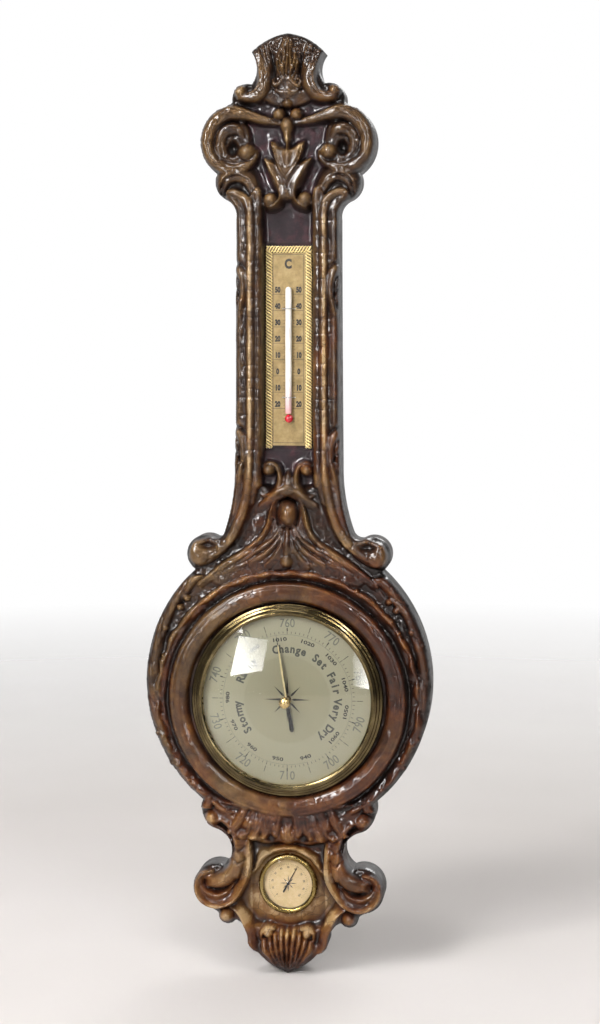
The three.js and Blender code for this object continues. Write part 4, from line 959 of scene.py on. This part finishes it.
def flutter(r):
    """The carver's small unevenness and tool marks, least on the belly ring and the fields."""
    calm = np.where((r.radius > 73) & (r.radius < 88), 0.45, 1.0) * (1 - 0.6 * r.panel)
    r.H += calm * (0.34 * r.noise(8, 31) + 0.3 * r.noise(4, 32))
    leafy = np.zeros(r.X.shape)
    for low, high, half, share in ((92, 128, 60, 1), (-110, -78, 54, 1), (454, 501, 12, 1),
                                   (-210, -172, 22, 0.6)):
        leafy[(r.Z > low) & (r.Z < high) & (np.abs(r.X) < half)] = share
    leafy[(r.radius > 92) & (r.Z < 92) & (r.Z > -80)] = 0.8
    r.H -= 0.9 * blurred(leafy, 2) * bell(r.noise(7, 41), 0.1)
    r.H -= 0.35 * calm * bell(r.noise(14, 42), 0.03) * (1 - r.panel)


def edge_distance(r, points, reach):
    """Distance from each grid point to the nearest outline point, up to reach."""
    out = np.full(r.X.shape, float(reach))
    for px, pz in points[::2]:
        win = r.window(px - reach, px + reach, pz - reach, pz + reach)
        out[win] = np.minimum(out[win], np.hypot(r.X[win] - px, r.Z[win] - pz))
    return out


def finished_height(r, edge):
    """The carved field with its flat seats, its rounded outer edge and its limits."""
    height = blurred(r.H, 1) * 0.35 + r.H * 0.65
    height = np.where(r.radius < 73.3, 30.0, height)
    height = np.where(np.hypot(r.X, r.Z + HYGRO_DROP) < 23.6, 24.0, height)
    plate = (np.abs(r.X) < 18.4) & (r.Z > 186) & (r.Z < 342)
    height = np.where(plate, np.minimum(height, 20.1), height)
    s = np.clip(edge / EDGE_ROUND, 0, 1)
    height = height - EDGE_ROUND * (1 - np.sqrt(1 - (1 - s) ** 2)) * 0.9
    return np.clip(height, 12, 37.5)


def tones(r, height):
    """Shares that the wood look reads: crest tone, dark plain field, and warmth.

    The crest is the height over its surroundings, corrected place by place to the photograph.
    """
    across = np.abs(r.X)
    # crest tone: raised parts lighter as wear and painted highlight, hollows darker as glaze and
    # painted shade
    crest = (0.5 + (height - blurred(r.H, 6)) * 0.05 + (height - blurred(r.H, 2)) * 0.06
             + (height - 31.5) * 0.016)
    # painted highlight: a pale line along each rail's crest bead, with the flanks either side
    # darkened
    rail = np.clip((r.Z - 160) / 20, 0, 1) * np.clip((376 - r.Z) / 14, 0, 1)
    offset = across - 28.2
    crest += rail * (0.5 * bell(offset, 1.1) - 0.1 * np.clip(offset - 1, 0, 1)
                     - 0.2 * np.clip(-offset - 1, 0, 1))
    crest -= 0.22 * ((across < 28) & (r.Z < -104) & (r.Z > -170))
    crest += 0.04 * ((r.Z < -84) & (across > 27))
    # painted shade: the right side of the head darker
    crest -= 0.07 * ((r.Z > 385) & (r.X > 14))
    crest += 0.12 * np.clip((-r.Z - 40) / 40, 0, 1) * (r.radius < 91)
    crest = crest + 0.75 * r.bright
    # painted shade below the head: darker towards the right side, lighter towards the left
    crest -= np.clip(r.X / 107, -0.4, 1) * 0.16 * (r.Z < 100)
    crest -= 0.09 * (r.radius < 91) + 0.03 * (r.Z > 360)
    # painted shade: darker along the cut between the ring and the ribbon
    crest -= 0.16 * (bell(r.radius - 91.8, 2.4) * (r.Z < 84))
    plain = np.clip(1 - (height - 23.0) / 2.5, 0, 1) * r.panel
    warm = np.clip((120 - r.Z) / 1500, -0.16, 0.2) - 0.16 * r.bright
    warm += np.clip(r.X / 700, -0.14, 0.14)
    warm += np.where((r.radius > 89) & (r.radius < 97), 0.25, 0)
    return np.stack([np.clip(crest, 0.02, 0.98), plain, warm], axis=-1)


def boundary_loops(cells):
    """Ordered loops of grid vertices round the kept cells, kept cells on the left."""
    wide = cells.shape[1] + 1
    padded = np.pad(cells, 1)
    # each side of a cell: where its neighbour is, and its two ends
    sides = (((0, 1), (0, 0), (0, 1)), ((1, 2), (0, 1), (1, 1)),
             ((2, 1), (1, 1), (1, 0)), ((1, 0), (1, 0), (0, 0)))
    following = {}
    for i, j in np.argwhere(cells):
        for (ni, nj), (ai, aj), (bi, bj) in sides:
            if not padded[i + ni, j + nj]:
                start, end = (i + ai) * wide + j + aj, (i + bi) * wide + j + bj
                following.setdefault(start, []).append(end)
    loops = []
    while following:
        loop, here = [], next(iter(following))
        while here in following:
            loop.append(here)
            onward = following[here].pop()
            if not following[here]:
                del following[here]
            here = onward
        loops.append(np.array(loop))
    return loops


def without_pinches(cells):
    """Drops cells until no two kept cells meet only at a corner."""
    while True:
        a, b = cells[:-1, :-1], cells[1:, 1:]
        c, d = cells[:-1, 1:], cells[1:, :-1]
        first = a & b & ~c & ~d
        second = c & d & ~a & ~b
        if not (first.any() or second.any()):
            return cells
        cells[:-1, :-1] &= ~first
        cells[:-1, 1:] &= ~second


def kept_cells(r, outline):
    """Grid cells inside the outline and outside the two round openings."""
    x, z = r.X[:-1, :-1] + STEP / 2, r.Z[:-1, :-1] + STEP / 2
    cells = inside_polygon(x, z, outline)
    cells &= (np.hypot(x, z) > BORE) & (np.hypot(x, z + HYGRO_DROP) > HYGRO_BORE)
    return without_pinches(cells)


def snapped(ids, x, z, outline):
    """Moves a stepped loop of the grid onto the true edge, and tells which edge it is."""
    for kind, radius, drop in (("bore", BORE, 0.0), ("hygro", HYGRO_BORE, HYGRO_DROP)):
        reach = np.hypot(x[ids], z[ids] + drop)
        if abs(reach.mean() - radius) < 2:
            scale = radius / reach
            x[ids], z[ids] = x[ids] * scale, (z[ids] + drop) * scale - drop
            return kind
    for v in ids:
        gaps = (outline[:, 0] - x[v]) ** 2 + (outline[:, 1] - z[v]) ** 2
        x[v], z[v] = outline[int(gaps.argmin())]
    return "outer"


def wall_rows(kind, x, z, height):
    """Rings from a loop of the front edge to the back: depth, x, z and crest tone."""
    if kind == "outer":
        nx, nz = -(np.roll(z, -1) - np.roll(z, 1)), np.roll(x, -1) - np.roll(x, 1)
        size = np.maximum(np.hypot(nx, nz), 1e-6)
        nx, nz = nx / size, nz / size
        return [(depth, x + nx * inset, z + nz * inset, tone) for depth, inset, tone in (
            (height * 0.72, 0.0, 0.3), (height * 0.4, 0.0, 0.25), (3.0, 0.0, 0.22),
            (1.0, 0.3, 0.2), (0.0, 1.2, 0.15))]
    if kind == "bore":
        k = BORE_BACK / BORE
        return [(27.0, x, z, 0.2), (23.1, x, z, 0.2)] + [
            (depth, x * k, z * k, 0.2) for depth in (23.0, 10.0, 0.0)]
    return [(depth, x, z, 0.2) for depth in (16.0, 6.0, 0.0)]


# the hanger pocket in the back, in the frame's own heights: half width, bottom and top
POCKET_RIM, POCKET_SEAT = (11.3, -32.3, 24.3), (6.5, -19.5, 6.5)


def pocket_points():
    """Four rings of four corners: rim on the back, floor, rim of the seat and its end."""
    points = []
    for (half, low, high), depth in ((POCKET_RIM, 0), (POCKET_RIM, 4), (POCKET_SEAT, 4),
                                     (POCKET_SEAT, 13)):
        points += [(x, -depth, z) for x, z in ((-half, low), (half, low), (half, high),
                                               (-half, high))]
    return points


def back_faces(verts, loops):
    """Triangles that close the flat back between its loops, and the points they bring."""
    ids = np.concatenate(list(loops.values()))
    edges, start = [], 0
    for loop in loops.values():
        edges += [(start + k, start + (k + 1) % len(loop)) for k in range(len(loop))]
        start += len(loop)
    flat = verts[ids][:, [0, 2]]
    found, _, corners, origin, _, _ = geometry.delaunay_2d_cdt(
        [Vector(point) for point in flat], edges, [], 0, 1e-5)
    corners = np.array(corners)
    mid = np.array([(p.x, p.y) for p in found])[corners].mean(axis=1)
    keep = np.ones(len(mid), dtype=bool)
    for kind, loop in loops.items():
        inside = inside_polygon(mid[:, 0], mid[:, 1], verts[loop][:, [0, 2]])
        keep &= inside if kind == "outer" else ~inside
    # where the inset outline crosses itself, the triangulation brings points of its own
    same, extra = [], []
    for point, source in zip(found, origin):
        gap = np.hypot(flat[:, 0] - point.x, flat[:, 1] - point.y)
        if source:
            same.append(int(ids[source[0]]))
        elif gap.min() < 0.1:
            same.append(int(ids[gap.argmin()]))
        else:
            same.append(len(verts) + len(extra))
            extra.append((point.x, 0.0, point.y))
    faces = [(same[a], same[c], same[b]) for a, b, c in corners[keep]]
    return [face for face in faces if len(set(face)) == 3], extra


def build_case():
    r = Relief()
    outline = outline_points()
    edge = edge_distance(r, outline, 12)
    carve_panels(r)
    carve_belly(r, edge)
    for carve in (carve_foot, carve_rails, carve_head, carve_neck_foot, hygrometer_seat, flutter):
        carve(r)
    height = finished_height(r, edge)

    # the front: one vertex for each used grid point
    cells = kept_cells(r, outline)
    used = np.zeros(r.X.shape, dtype=bool)
    for di in (0, 1):
        for dj in (0, 1):
            used[di:di + cells.shape[0], dj:dj + cells.shape[1]] |= cells
    number = -np.ones(r.X.shape, dtype=int)
    number[used] = np.arange(used.sum())
    x, z, h = r.X[used].copy(), r.Z[used].copy(), height[used]
    i, j = np.nonzero(cells)
    faces = [np.stack([number[i, j], number[i, j + 1], number[i + 1, j + 1], number[i + 1, j]],
                      axis=1)]
    rims = [number.ravel()[loop] for loop in boundary_loops(cells)]
    kinds = [snapped(ids, x, z, outline) for ids in rims]
    points = [np.stack([x, -h, z + DIAL_Z], axis=1)]
    values = [tones(r, height)[used]]

    # walls from each rim of the front to the back
    loops, count = {}, len(x)
    for kind, ids in zip(kinds, rims):
        previous = ids
        for depth, px, pz, tone in wall_rows(kind, x[ids], z[ids], h[ids]):
            these = np.arange(count, count + len(ids))
            count += len(ids)
            points.append(np.stack(np.broadcast_arrays(px, -depth, pz + DIAL_Z), axis=1))
            values.append(np.tile([tone, 0.0, 0.0], (len(ids), 1)))
            faces.append(np.stack([previous, these, np.roll(these, -1), np.roll(previous, -1)],
                                  axis=1))
            previous = these
        loops[kind] = previous

    # hanger pocket, then the flat back round it
    pocket = list(range(count, count + 16))
    face_list = np.concatenate(faces).tolist()
    for k in range(12):
        m = k // 4 * 4 + (k + 1) % 4
        face_list.append([pocket[k], pocket[m], pocket[m + 4], pocket[k + 4]])
    face_list.append(pocket[:11:-1])
    verts = np.concatenate([*points, np.array(pocket_points())])
    loops["pocket"] = pocket[:4]
    back, extra = back_faces(verts, loops)
    verts = np.concatenate([verts, np.reshape(extra, (-1, 3))])
    values.append(np.tile([0.2, 0.0, 0.0], (len(pocket) + len(extra), 1)))

    case = add_piece("carved_case", verts, face_list + back, WOOD, "varnished_wood", sharp=62)
    for face in case.data.polygons[len(face_list):]:
        face.use_smooth = False
    for name, column in zip(("crest", "panel", "warm"), np.concatenate(values).T):
        layer = case.data.attributes.new(name, "FLOAT", "POINT")
        layer.data.foreach_set("value", column.copy())
    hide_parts("case_body")


build_case()


# ---- lettering and marks -----------------------------------------------------------------
def glyphs(text, size, wide=1.0, weight=0.0):
    """A word's flat mesh, centred on its own middle: points (x, height) in mm, and faces."""
    curve = bpy.data.curves.new("glyph", "FONT")
    curve.body, curve.size, curve.offset, curve.resolution_u = text, size, weight, 3
    curve.align_x = curve.align_y = "CENTER"
    obj = linked("glyph", curve)
    graph = bpy.context.evaluated_depsgraph_get()
    mesh = bpy.data.meshes.new_from_object(obj.evaluated_get(graph))
    points = [(v.co.x * wide, v.co.y) for v in mesh.vertices]
    faces = [tuple(p.vertices) for p in mesh.polygons]
    bpy.data.objects.remove(obj)
    bpy.data.curves.remove(curve)
    bpy.data.meshes.remove(mesh)
    return points, faces


def block(x0, x1, z0, z1):
    return [(x0, z0), (x1, z0), (x1, z1), (x0, z1)], [(0, 1, 2, 3)]


def placed(glyph, x, z, depth, angle=0.0):
    """A glyph turned clockwise by angle and put on a plane facing the viewer."""
    points, faces = glyph
    c, s = math.cos(math.radians(angle)), math.sin(math.radians(angle))
    return [(x + px * c + pz * s, -depth, z - px * s + pz * c) for px, pz in points], faces


def round_dial(glyph, radius, angle, depth, centre=DIAL_Z, upright=False):
    """A glyph on a circle; upright ones are turned over in the lower half to stay readable."""
    a = math.radians(angle)
    turn = angle + 180 if upright and math.cos(a) < -0.1 else angle
    return placed(glyph, radius * math.sin(a), centre + radius * math.cos(a), depth, turn)


def tick(radius, length, width, angle, depth, centre=DIAL_Z):
    shape = block(-width / 2, width / 2, -length / 2, length / 2)
    return round_dial(shape, radius, angle, depth, centre)


def arc_line(radius, width, start, end, depth, count=220):
    verts = []
    for i in range(count + 1):
        a = math.radians(start + (end - start) * i / count)
        for r in (radius - width / 2, radius + width / 2):
            verts.append((r * math.sin(a), -depth, DIAL_Z + r * math.cos(a)))
    return verts, [(k, k + 1, k + 3, k + 2) for k in range(0, 2 * count, 2)]


def star(radius, waist, width, depth, centre):
    """A compass star: eight thin rays round an open middle, every other one shorter."""
    verts = []
    for k in range(8):
        a = math.radians(45 * k)
        reach = radius if k % 2 == 0 else radius * 0.8
        out = np.array([math.sin(a), math.cos(a)])
        side = np.array([math.cos(a), -math.sin(a)])
        for p in (out * waist, out * (waist + 2) + side * width, out * reach,
                  out * (waist + 2) - side * width):
            verts.append((p[0], -depth, centre + p[1]))
    return verts, [(k, k + 1, k + 2, k + 3) for k in range(0, 32, 4)]


def add_marks(name, parts, ink):
    add_piece(name, *merged(parts), ink, "black_steel", smooth=False)


def print_dial():
    depth = 31.13  # just over the dial plate
    grey, black, words = [], [], []
    for k in range(10):
        # the inner scale runs on from 790 to 700, in mm of mercury
        value = 760 + 10 * k if k <= 3 else 700 + 10 * (k - 4)
        grey.append(round_dial(glyphs(str(value), 9.2, 0.86, 0.05), 57, 36 * k, depth,
                               upright=True))
        black.append(tick(52.4, 2.2, 0.8, 36 * k, depth))
        black.append(tick(54.6, 4.6, 0.4, 36 * k + 18, depth))
    for k in range(100):
        words.append(tick(50.2, 2.6 if k % 5 == 0 else 1.5, 0.4, 3.6 * k, depth))
    grey.append(arc_line(48.6, 0.22, -198, 138, depth))
    for k in range(13):
        # the outer scale, 940 to 1060 mbar
        black.append(round_dial(glyphs(str(940 + 10 * k), 3.8, 1.5, 0.1), 45, -198 + 27.2 * k,
                                depth, upright=True))
    for word, middle in (("Stormy", -112), ("Rainy", -55), ("Change", 3), ("Set Fair", 57),
                         ("Very Dry", 114)):
        for i, letter in enumerate(word):
            if letter != " ":
                angle = middle + (i - (len(word) - 1) / 2) * 6.5
                words.append(round_dial(glyphs(letter, 8.4, 0.9, 0.3), 37.8, angle, depth))
    black.append(star(17.5, 3.2, 0.85, depth, DIAL_Z))
    add_marks("dial_grey_marks", grey, GREY_INK)
    add_marks("dial_black_marks", black, INK)
    add_marks("dial_words", words, WORD_INK)


def print_hygrometer():
    depth = 25.03
    parts = [star(6.4, 1.3, 0.4, depth, HYGRO_Z)]
    for k in range(0, 101, 2):
        length = 1.2 if k % 10 == 0 else 0.7
        parts.append(tick(14.4, length, 0.2, -135 + 2.7 * k, depth, HYGRO_Z))
    for k in range(0, 101, 10):
        number = glyphs(str(k), 2.0, 0.9, 0.05)
        parts.append(round_dial(number, 12.0, -135 + 2.7 * k, depth, HYGRO_Z))
    add_marks("hygro_marks", parts, WORD_INK)


def print_thermometer():
    depth, left, right, low, high = 21.34, -12.0, 11.0, 191.6, 333.4
    flat = [block(x - 0.15, x + 0.15, low, high) for x in (left, right)]
    flat += [block(left, right, z - 0.15, z + 0.15) for z in (low, high)]
    numbers = [(glyphs("C", 9.6, 0.78, 0.5), -0.6, 326)]
    for k, value in enumerate((50, 40, 30, 20, 10, 0, 10, 20)):
        z = 306.6 - 12.3 * k
        numbers += [(glyphs(str(value), 5.6, 0.72, 0.36), x, z) for x in (-8.6, 7.5)]
        flat += [block(a, b, z - 3.3, z - 3.05) for a, b in ((left, -3.0), (3.0, right))]
        for m in range(1, 5):
            y = z - 3.2 - 12.3 * m / 5
            flat += [block(a, b, y, y + 0.16) for a, b in ((-4.6, -3.0), (3.0, 4.6))]
    parts = [placed(shape, 0, DIAL_Z, depth) for shape in flat]
    parts += [placed(glyph, x, z + DIAL_Z, depth) for glyph, x, z in numbers]
    add_marks("thermometer_marks", parts, INK)


print_dial()
print_hygrometer()
print_thermometer()


# ---- turned and drawn metal --------------------------------------------------------------
# profiles are points of (radius, depth in front of the wall)
BEZEL = [(65.1, 24), (66.1, 24), (66.1, 30.3), (72.5, 30.3), (72.5, 32.2), (71.6, 33.6), (70, 34),
         (69.6, 35.4), (68, 35.8), (67.6, 37), (65.6, 38.2), (63.5, 37.6), (63.4, 36.7),
         (65.1, 36.7)]
SMALL_BEZEL = [(19.15, 24.3), (22.4, 24.3), (22.4, 26.6), (21.8, 28.2), (20.6, 29.2), (19.3, 29),
               (18.4, 28.1), (18.4, 27.6), (18.7, 27.6), (19.15, 25.6)]
DIAL_PLATE = [(3, 30.5), (64.4, 30.5), (64.4, 31.1), (3, 31.1)]
KNOB = [(0.0, 34.6), (1.0, 34.6), (1.0, 43.2), (3.5, 43.2), (4.1, 43.8), (4.15, 46.2),
        (3.7, 47.3), (2.9, 48.0), (1.6, 48.4), (0.0, 48.55)]


def dome_profile(hole, rim, back, thickness, rise, count=14):
    """A domed glass of even thickness, from its hole to its rim."""
    radius = (rim * rim + rise * rise) / (2 * rise)
    radii = np.linspace(hole, rim, count)
    drop = [radius - math.sqrt(radius * radius - r * r) for r in radii]
    front = [(r, back + thickness + rise - d) for r, d in zip(radii, drop)]
    rear = [(r, back + rise - d) for r, d in zip(radii, drop)]
    return front + rear[::-1]


def turned_piece(name, node, profile, z, look, slot, segments, round_by=0.0, sharp=None,
                 body="case", close=True):
    shape = rounded(profile, round_by) if round_by else profile
    made = add_piece(name, *lathe(shape, z, segments, close), look, slot, body, sharp=sharp)
    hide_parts(node)


turned_piece("barometer_bezel", "bezel_ring", BEZEL, DIAL_Z, BRASS, "brass", 224, 0.35)
turned_piece("barometer_glass", "dial_glass", dome_profile(1.5, 64.6, 34.4, 2, 6.3), DIAL_Z,
             GLASS, "clear_glass", 128, sharp=40)
turned_piece("dial_disc", "dial_plate", DIAL_PLATE, DIAL_Z, DIAL, "silvered_dial", 128, 0.1, 40)
turned_piece("hygrometer_glass", "hygro_glass", dome_profile(0, 18.2, 26.1, 1.1, 1.8, 10)[:-1],
             HYGRO_Z, GLASS, "clear_glass", 96, sharp=40)
turned_piece("hygrometer_bezel", "hygro_bezel", SMALL_BEZEL, HYGRO_Z, SMALL_BRASS, "brass", 128,
             0.5)
turned_piece("setting_knob", "set_knob", KNOB, DIAL_Z, GOLD, "brass", 48, sharp=50,
             body="setting", close=False)


# ---- gold cord round the thermometer -----------------------------------------------------
def twisted(start, end, seed, width=5.4, thick=2.8, pitch=6.9, thread=0.66, strands=3):
    """Strands laid round each other in a flattened rope between two points."""
    start, end = np.array(start, dtype=float), np.array(end, dtype=float)
    length = np.linalg.norm(end - start)
    along = (end - start) / length
    across = np.cross(along, (0, 1, 0))
    t = np.linspace(0, 1, int(length / 0.5))
    wobble = np.interp(t, np.linspace(0, 1, 9),
                       np.random.default_rng(seed).uniform(-0.15, 0.15, 9))
    fray = np.interp(t * length, [0, 1.5, length - 1.5, length], [1.3, 1, 1, 1.3])
    parts = []
    for k in range(strands):
        phase = 2 * math.pi * (t * length / pitch + k / strands)
        side = (width / 2 - thread) * np.cos(phase) + wobble
        path = start + np.outer(t * length, along) + np.outer(side, across)
        path[:, 1] += (thick / 2 - thread) * np.sin(phase)
        parts.append(tube_mesh(path, thread * fray, 7))
    return merged(parts)


def trim_cords():
    low, high, top, y = -252.2, -103.4, -102.7, -21.75
    for name, start, end, seed in (("cord_left", (-15.2, y, low), (-15.2, y, high), 3),
                                   ("cord_right", (15.2, y, low), (15.2, y, high), 4),
                                   ("cord_top", (-17.2, y, top), (17.2, y, top), 5)):
        made = add_piece(name, *twisted(start, end, seed), THREAD, "gold_cord")
        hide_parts(name.replace("cord_", "trim_cord_"))


trim_cords()


# ---- camera, light and floor -------------------------------------------------------------
def look_at(obj, place, target):
    obj.location = place
    obj.rotation_mode = "QUATERNION"
    obj.rotation_quaternion = (Vector(target) - obj.location).to_track_quat("-Z", "Y")


def make_camera():
    """As in the photograph: level, from the right, with the frame shifted down."""
    view_height, sensor = 0.768, 36
    place, target, middle = (0.21, -1.55, -0.163), (0.009, -0.026, -0.163), -0.300
    data = bpy.data.cameras.new("camera")
    cam = linked("camera", data)
    look_at(cam, place, target)
    data.lens = sensor * math.dist(place, target) / view_height
    data.shift_y = (middle - target[2]) / view_height
    bpy.context.scene.camera = cam


def softbox(name, place, target, width, height, watts):
    data = bpy.data.lights.new(name, "AREA")
    data.shape = "RECTANGLE"
    data.size, data.size_y, data.energy = width, height, watts
    look_at(linked(name, data), place, target)


def light_panel(name, corners, strength, glow):
    """A glowing panel seen only in reflections and as light, fading between its corners."""
    look = Look(name)
    lamp = look.node("ShaderNodeEmission",
                     Strength=look.math("MULTIPLY", look.attribute("glow"), strength))
    look.shade_with(lamp.outputs[0])
    look.tree.nodes.remove(look.shader)
    mesh = bpy.data.meshes.new(name)
    mesh.from_pydata(corners, [], [(0, 1, 2, 3)])
    mesh.attributes.new("glow", "FLOAT", "POINT").data.foreach_set("value", glow)
    mesh.materials.append(look.material)
    panel = linked(name, mesh)
    panel.visible_camera = False
    panel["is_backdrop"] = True


def make_lights():
    # two shaped panels that show in the dial's glass, and two strips that light neck and head
    light_panel("key_left", [(-0.59, -1.29, -0.508), (-0.339, -1.291, -0.458),
                             (-0.301, -1.289, -0.242), (-0.528, -1.287, -0.219)],
                17, (1.0, 0.45, 0.12, 0.5))
    light_panel("strip_right", [(0.299, -1.289, -0.551), (0.415, -1.287, -0.583),
                                (0.423, -1.285, -0.315), (0.293, -1.285, -0.203)],
                14, (0.05, 1.0, 0.8, 0.1))
    for name, left, right, strength in (("high_left", -0.6, -0.5, 96),
                                        ("high_right", 0.4, 0.47, 80)):
        light_panel(name, [(left, -1.29, -0.2), (right, -1.29, -0.2), (right, -1.29, 0.4),
                           (left, -1.29, 0.4)], strength, (0.1, 0.1, 1.0, 1.0))
    softbox("bank_left", (-0.95, -1.35, 0.72), (0, 0, -0.25), 0.4, 0.6, 25)
    softbox("bank_right", (1.15, -1.3, 0.66), (0, 0, -0.25), 0.25, 0.6, 5)
    softbox("overhead", (-0.2, -0.75, 1.5), (0, 0, -0.3), 0.9, 0.3, 14)
    softbox("back_fill", (0.5, 1.8, 0.9), (0, 0, -0.25), 0.9, 0.9, 16)


def make_surround():
    """A studio that is dark in front of the object and white behind it."""
    world = bpy.data.worlds.new("studio")
    bpy.context.scene.world = world
    world.use_nodes = True
    nodes, links = world.node_tree.nodes, world.node_tree.links
    kinds = ("TexCoord", "SeparateXYZ", "MapRange", "ValToRGB")
    where, parts, fade, shade = (nodes.new("ShaderNode" + kind) for kind in kinds)
    fade.interpolation_type = "SMOOTHSTEP"
    for key, value in (("From Min", 0.08), ("From Max", 0.72), ("To Min", 0.0), ("To Max", 1.0)):
        fade.inputs[key].default_value = value
    shade.color_ramp.elements[0].color = (0.17, 0.165, 0.16, 1)
    shade.color_ramp.elements[1].color = (1.0, 1.0, 1.0, 1)
    links.new(where.outputs["Generated"], parts.inputs[0])
    links.new(parts.outputs["Y"], fade.inputs["Value"])
    links.new(fade.outputs[0], shade.inputs["Fac"])
    links.new(shade.outputs[0], nodes["Background"].inputs["Color"])
    nodes["Background"].inputs["Strength"].default_value = 1.0


def make_floor():
    """A pale floor that fades into the surround well away from the object."""
    look = Look("pale_floor", Roughness=0.9)
    look.feed(Base_Color=look.ramp(look.noise(3, 2), (0.3, "#c5c0bc"), (0.7, "#cbc6c3")))
    away = look.math("MULTIPLY", look.vector("LENGTH", look.place), 0.3)
    clear = look.node("ShaderNodeBsdfTransparent")
    mixer = look.node("ShaderNodeMixShader", look.ramp(away, (0.14, 0.0), (0.62, 1.0)),
                      look.shader.outputs[0], clear.outputs[0])
    look.shade_with(mixer.outputs[0])
    sides = 72
    verts, faces = [(0.0, 0.0, 0.0)], []
    for radius in (0.6, 1.4, 3.2):
        verts += [(radius * math.sin(a), radius * math.cos(a), 0.0)
                  for a in np.linspace(0, 2 * math.pi, sides, endpoint=False)]
    for k in range(sides):
        m = (k + 1) % sides
        faces.append((0, 1 + m, 1 + k))
        for ring in (1, 1 + sides):
            faces.append((ring + k, ring + m, ring + sides + m, ring + sides + k))
    mesh = bpy.data.meshes.new("studio_floor")
    mesh.from_pydata(verts, [], faces)
    mesh.materials.append(look.material)
    floor = linked("studio_floor", mesh)
    floor.location.z = FLOOR_Z
    floor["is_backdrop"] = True


make_camera()
make_lights()
make_surround()
make_floor()
bpy.context.scene.view_settings.view_transform = "Standard"


def plain(box):
    return [[round(c, 5) for c in corner] for corner in box]


{"cad": plain(CAD_BOX), "visual": plain(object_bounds())}
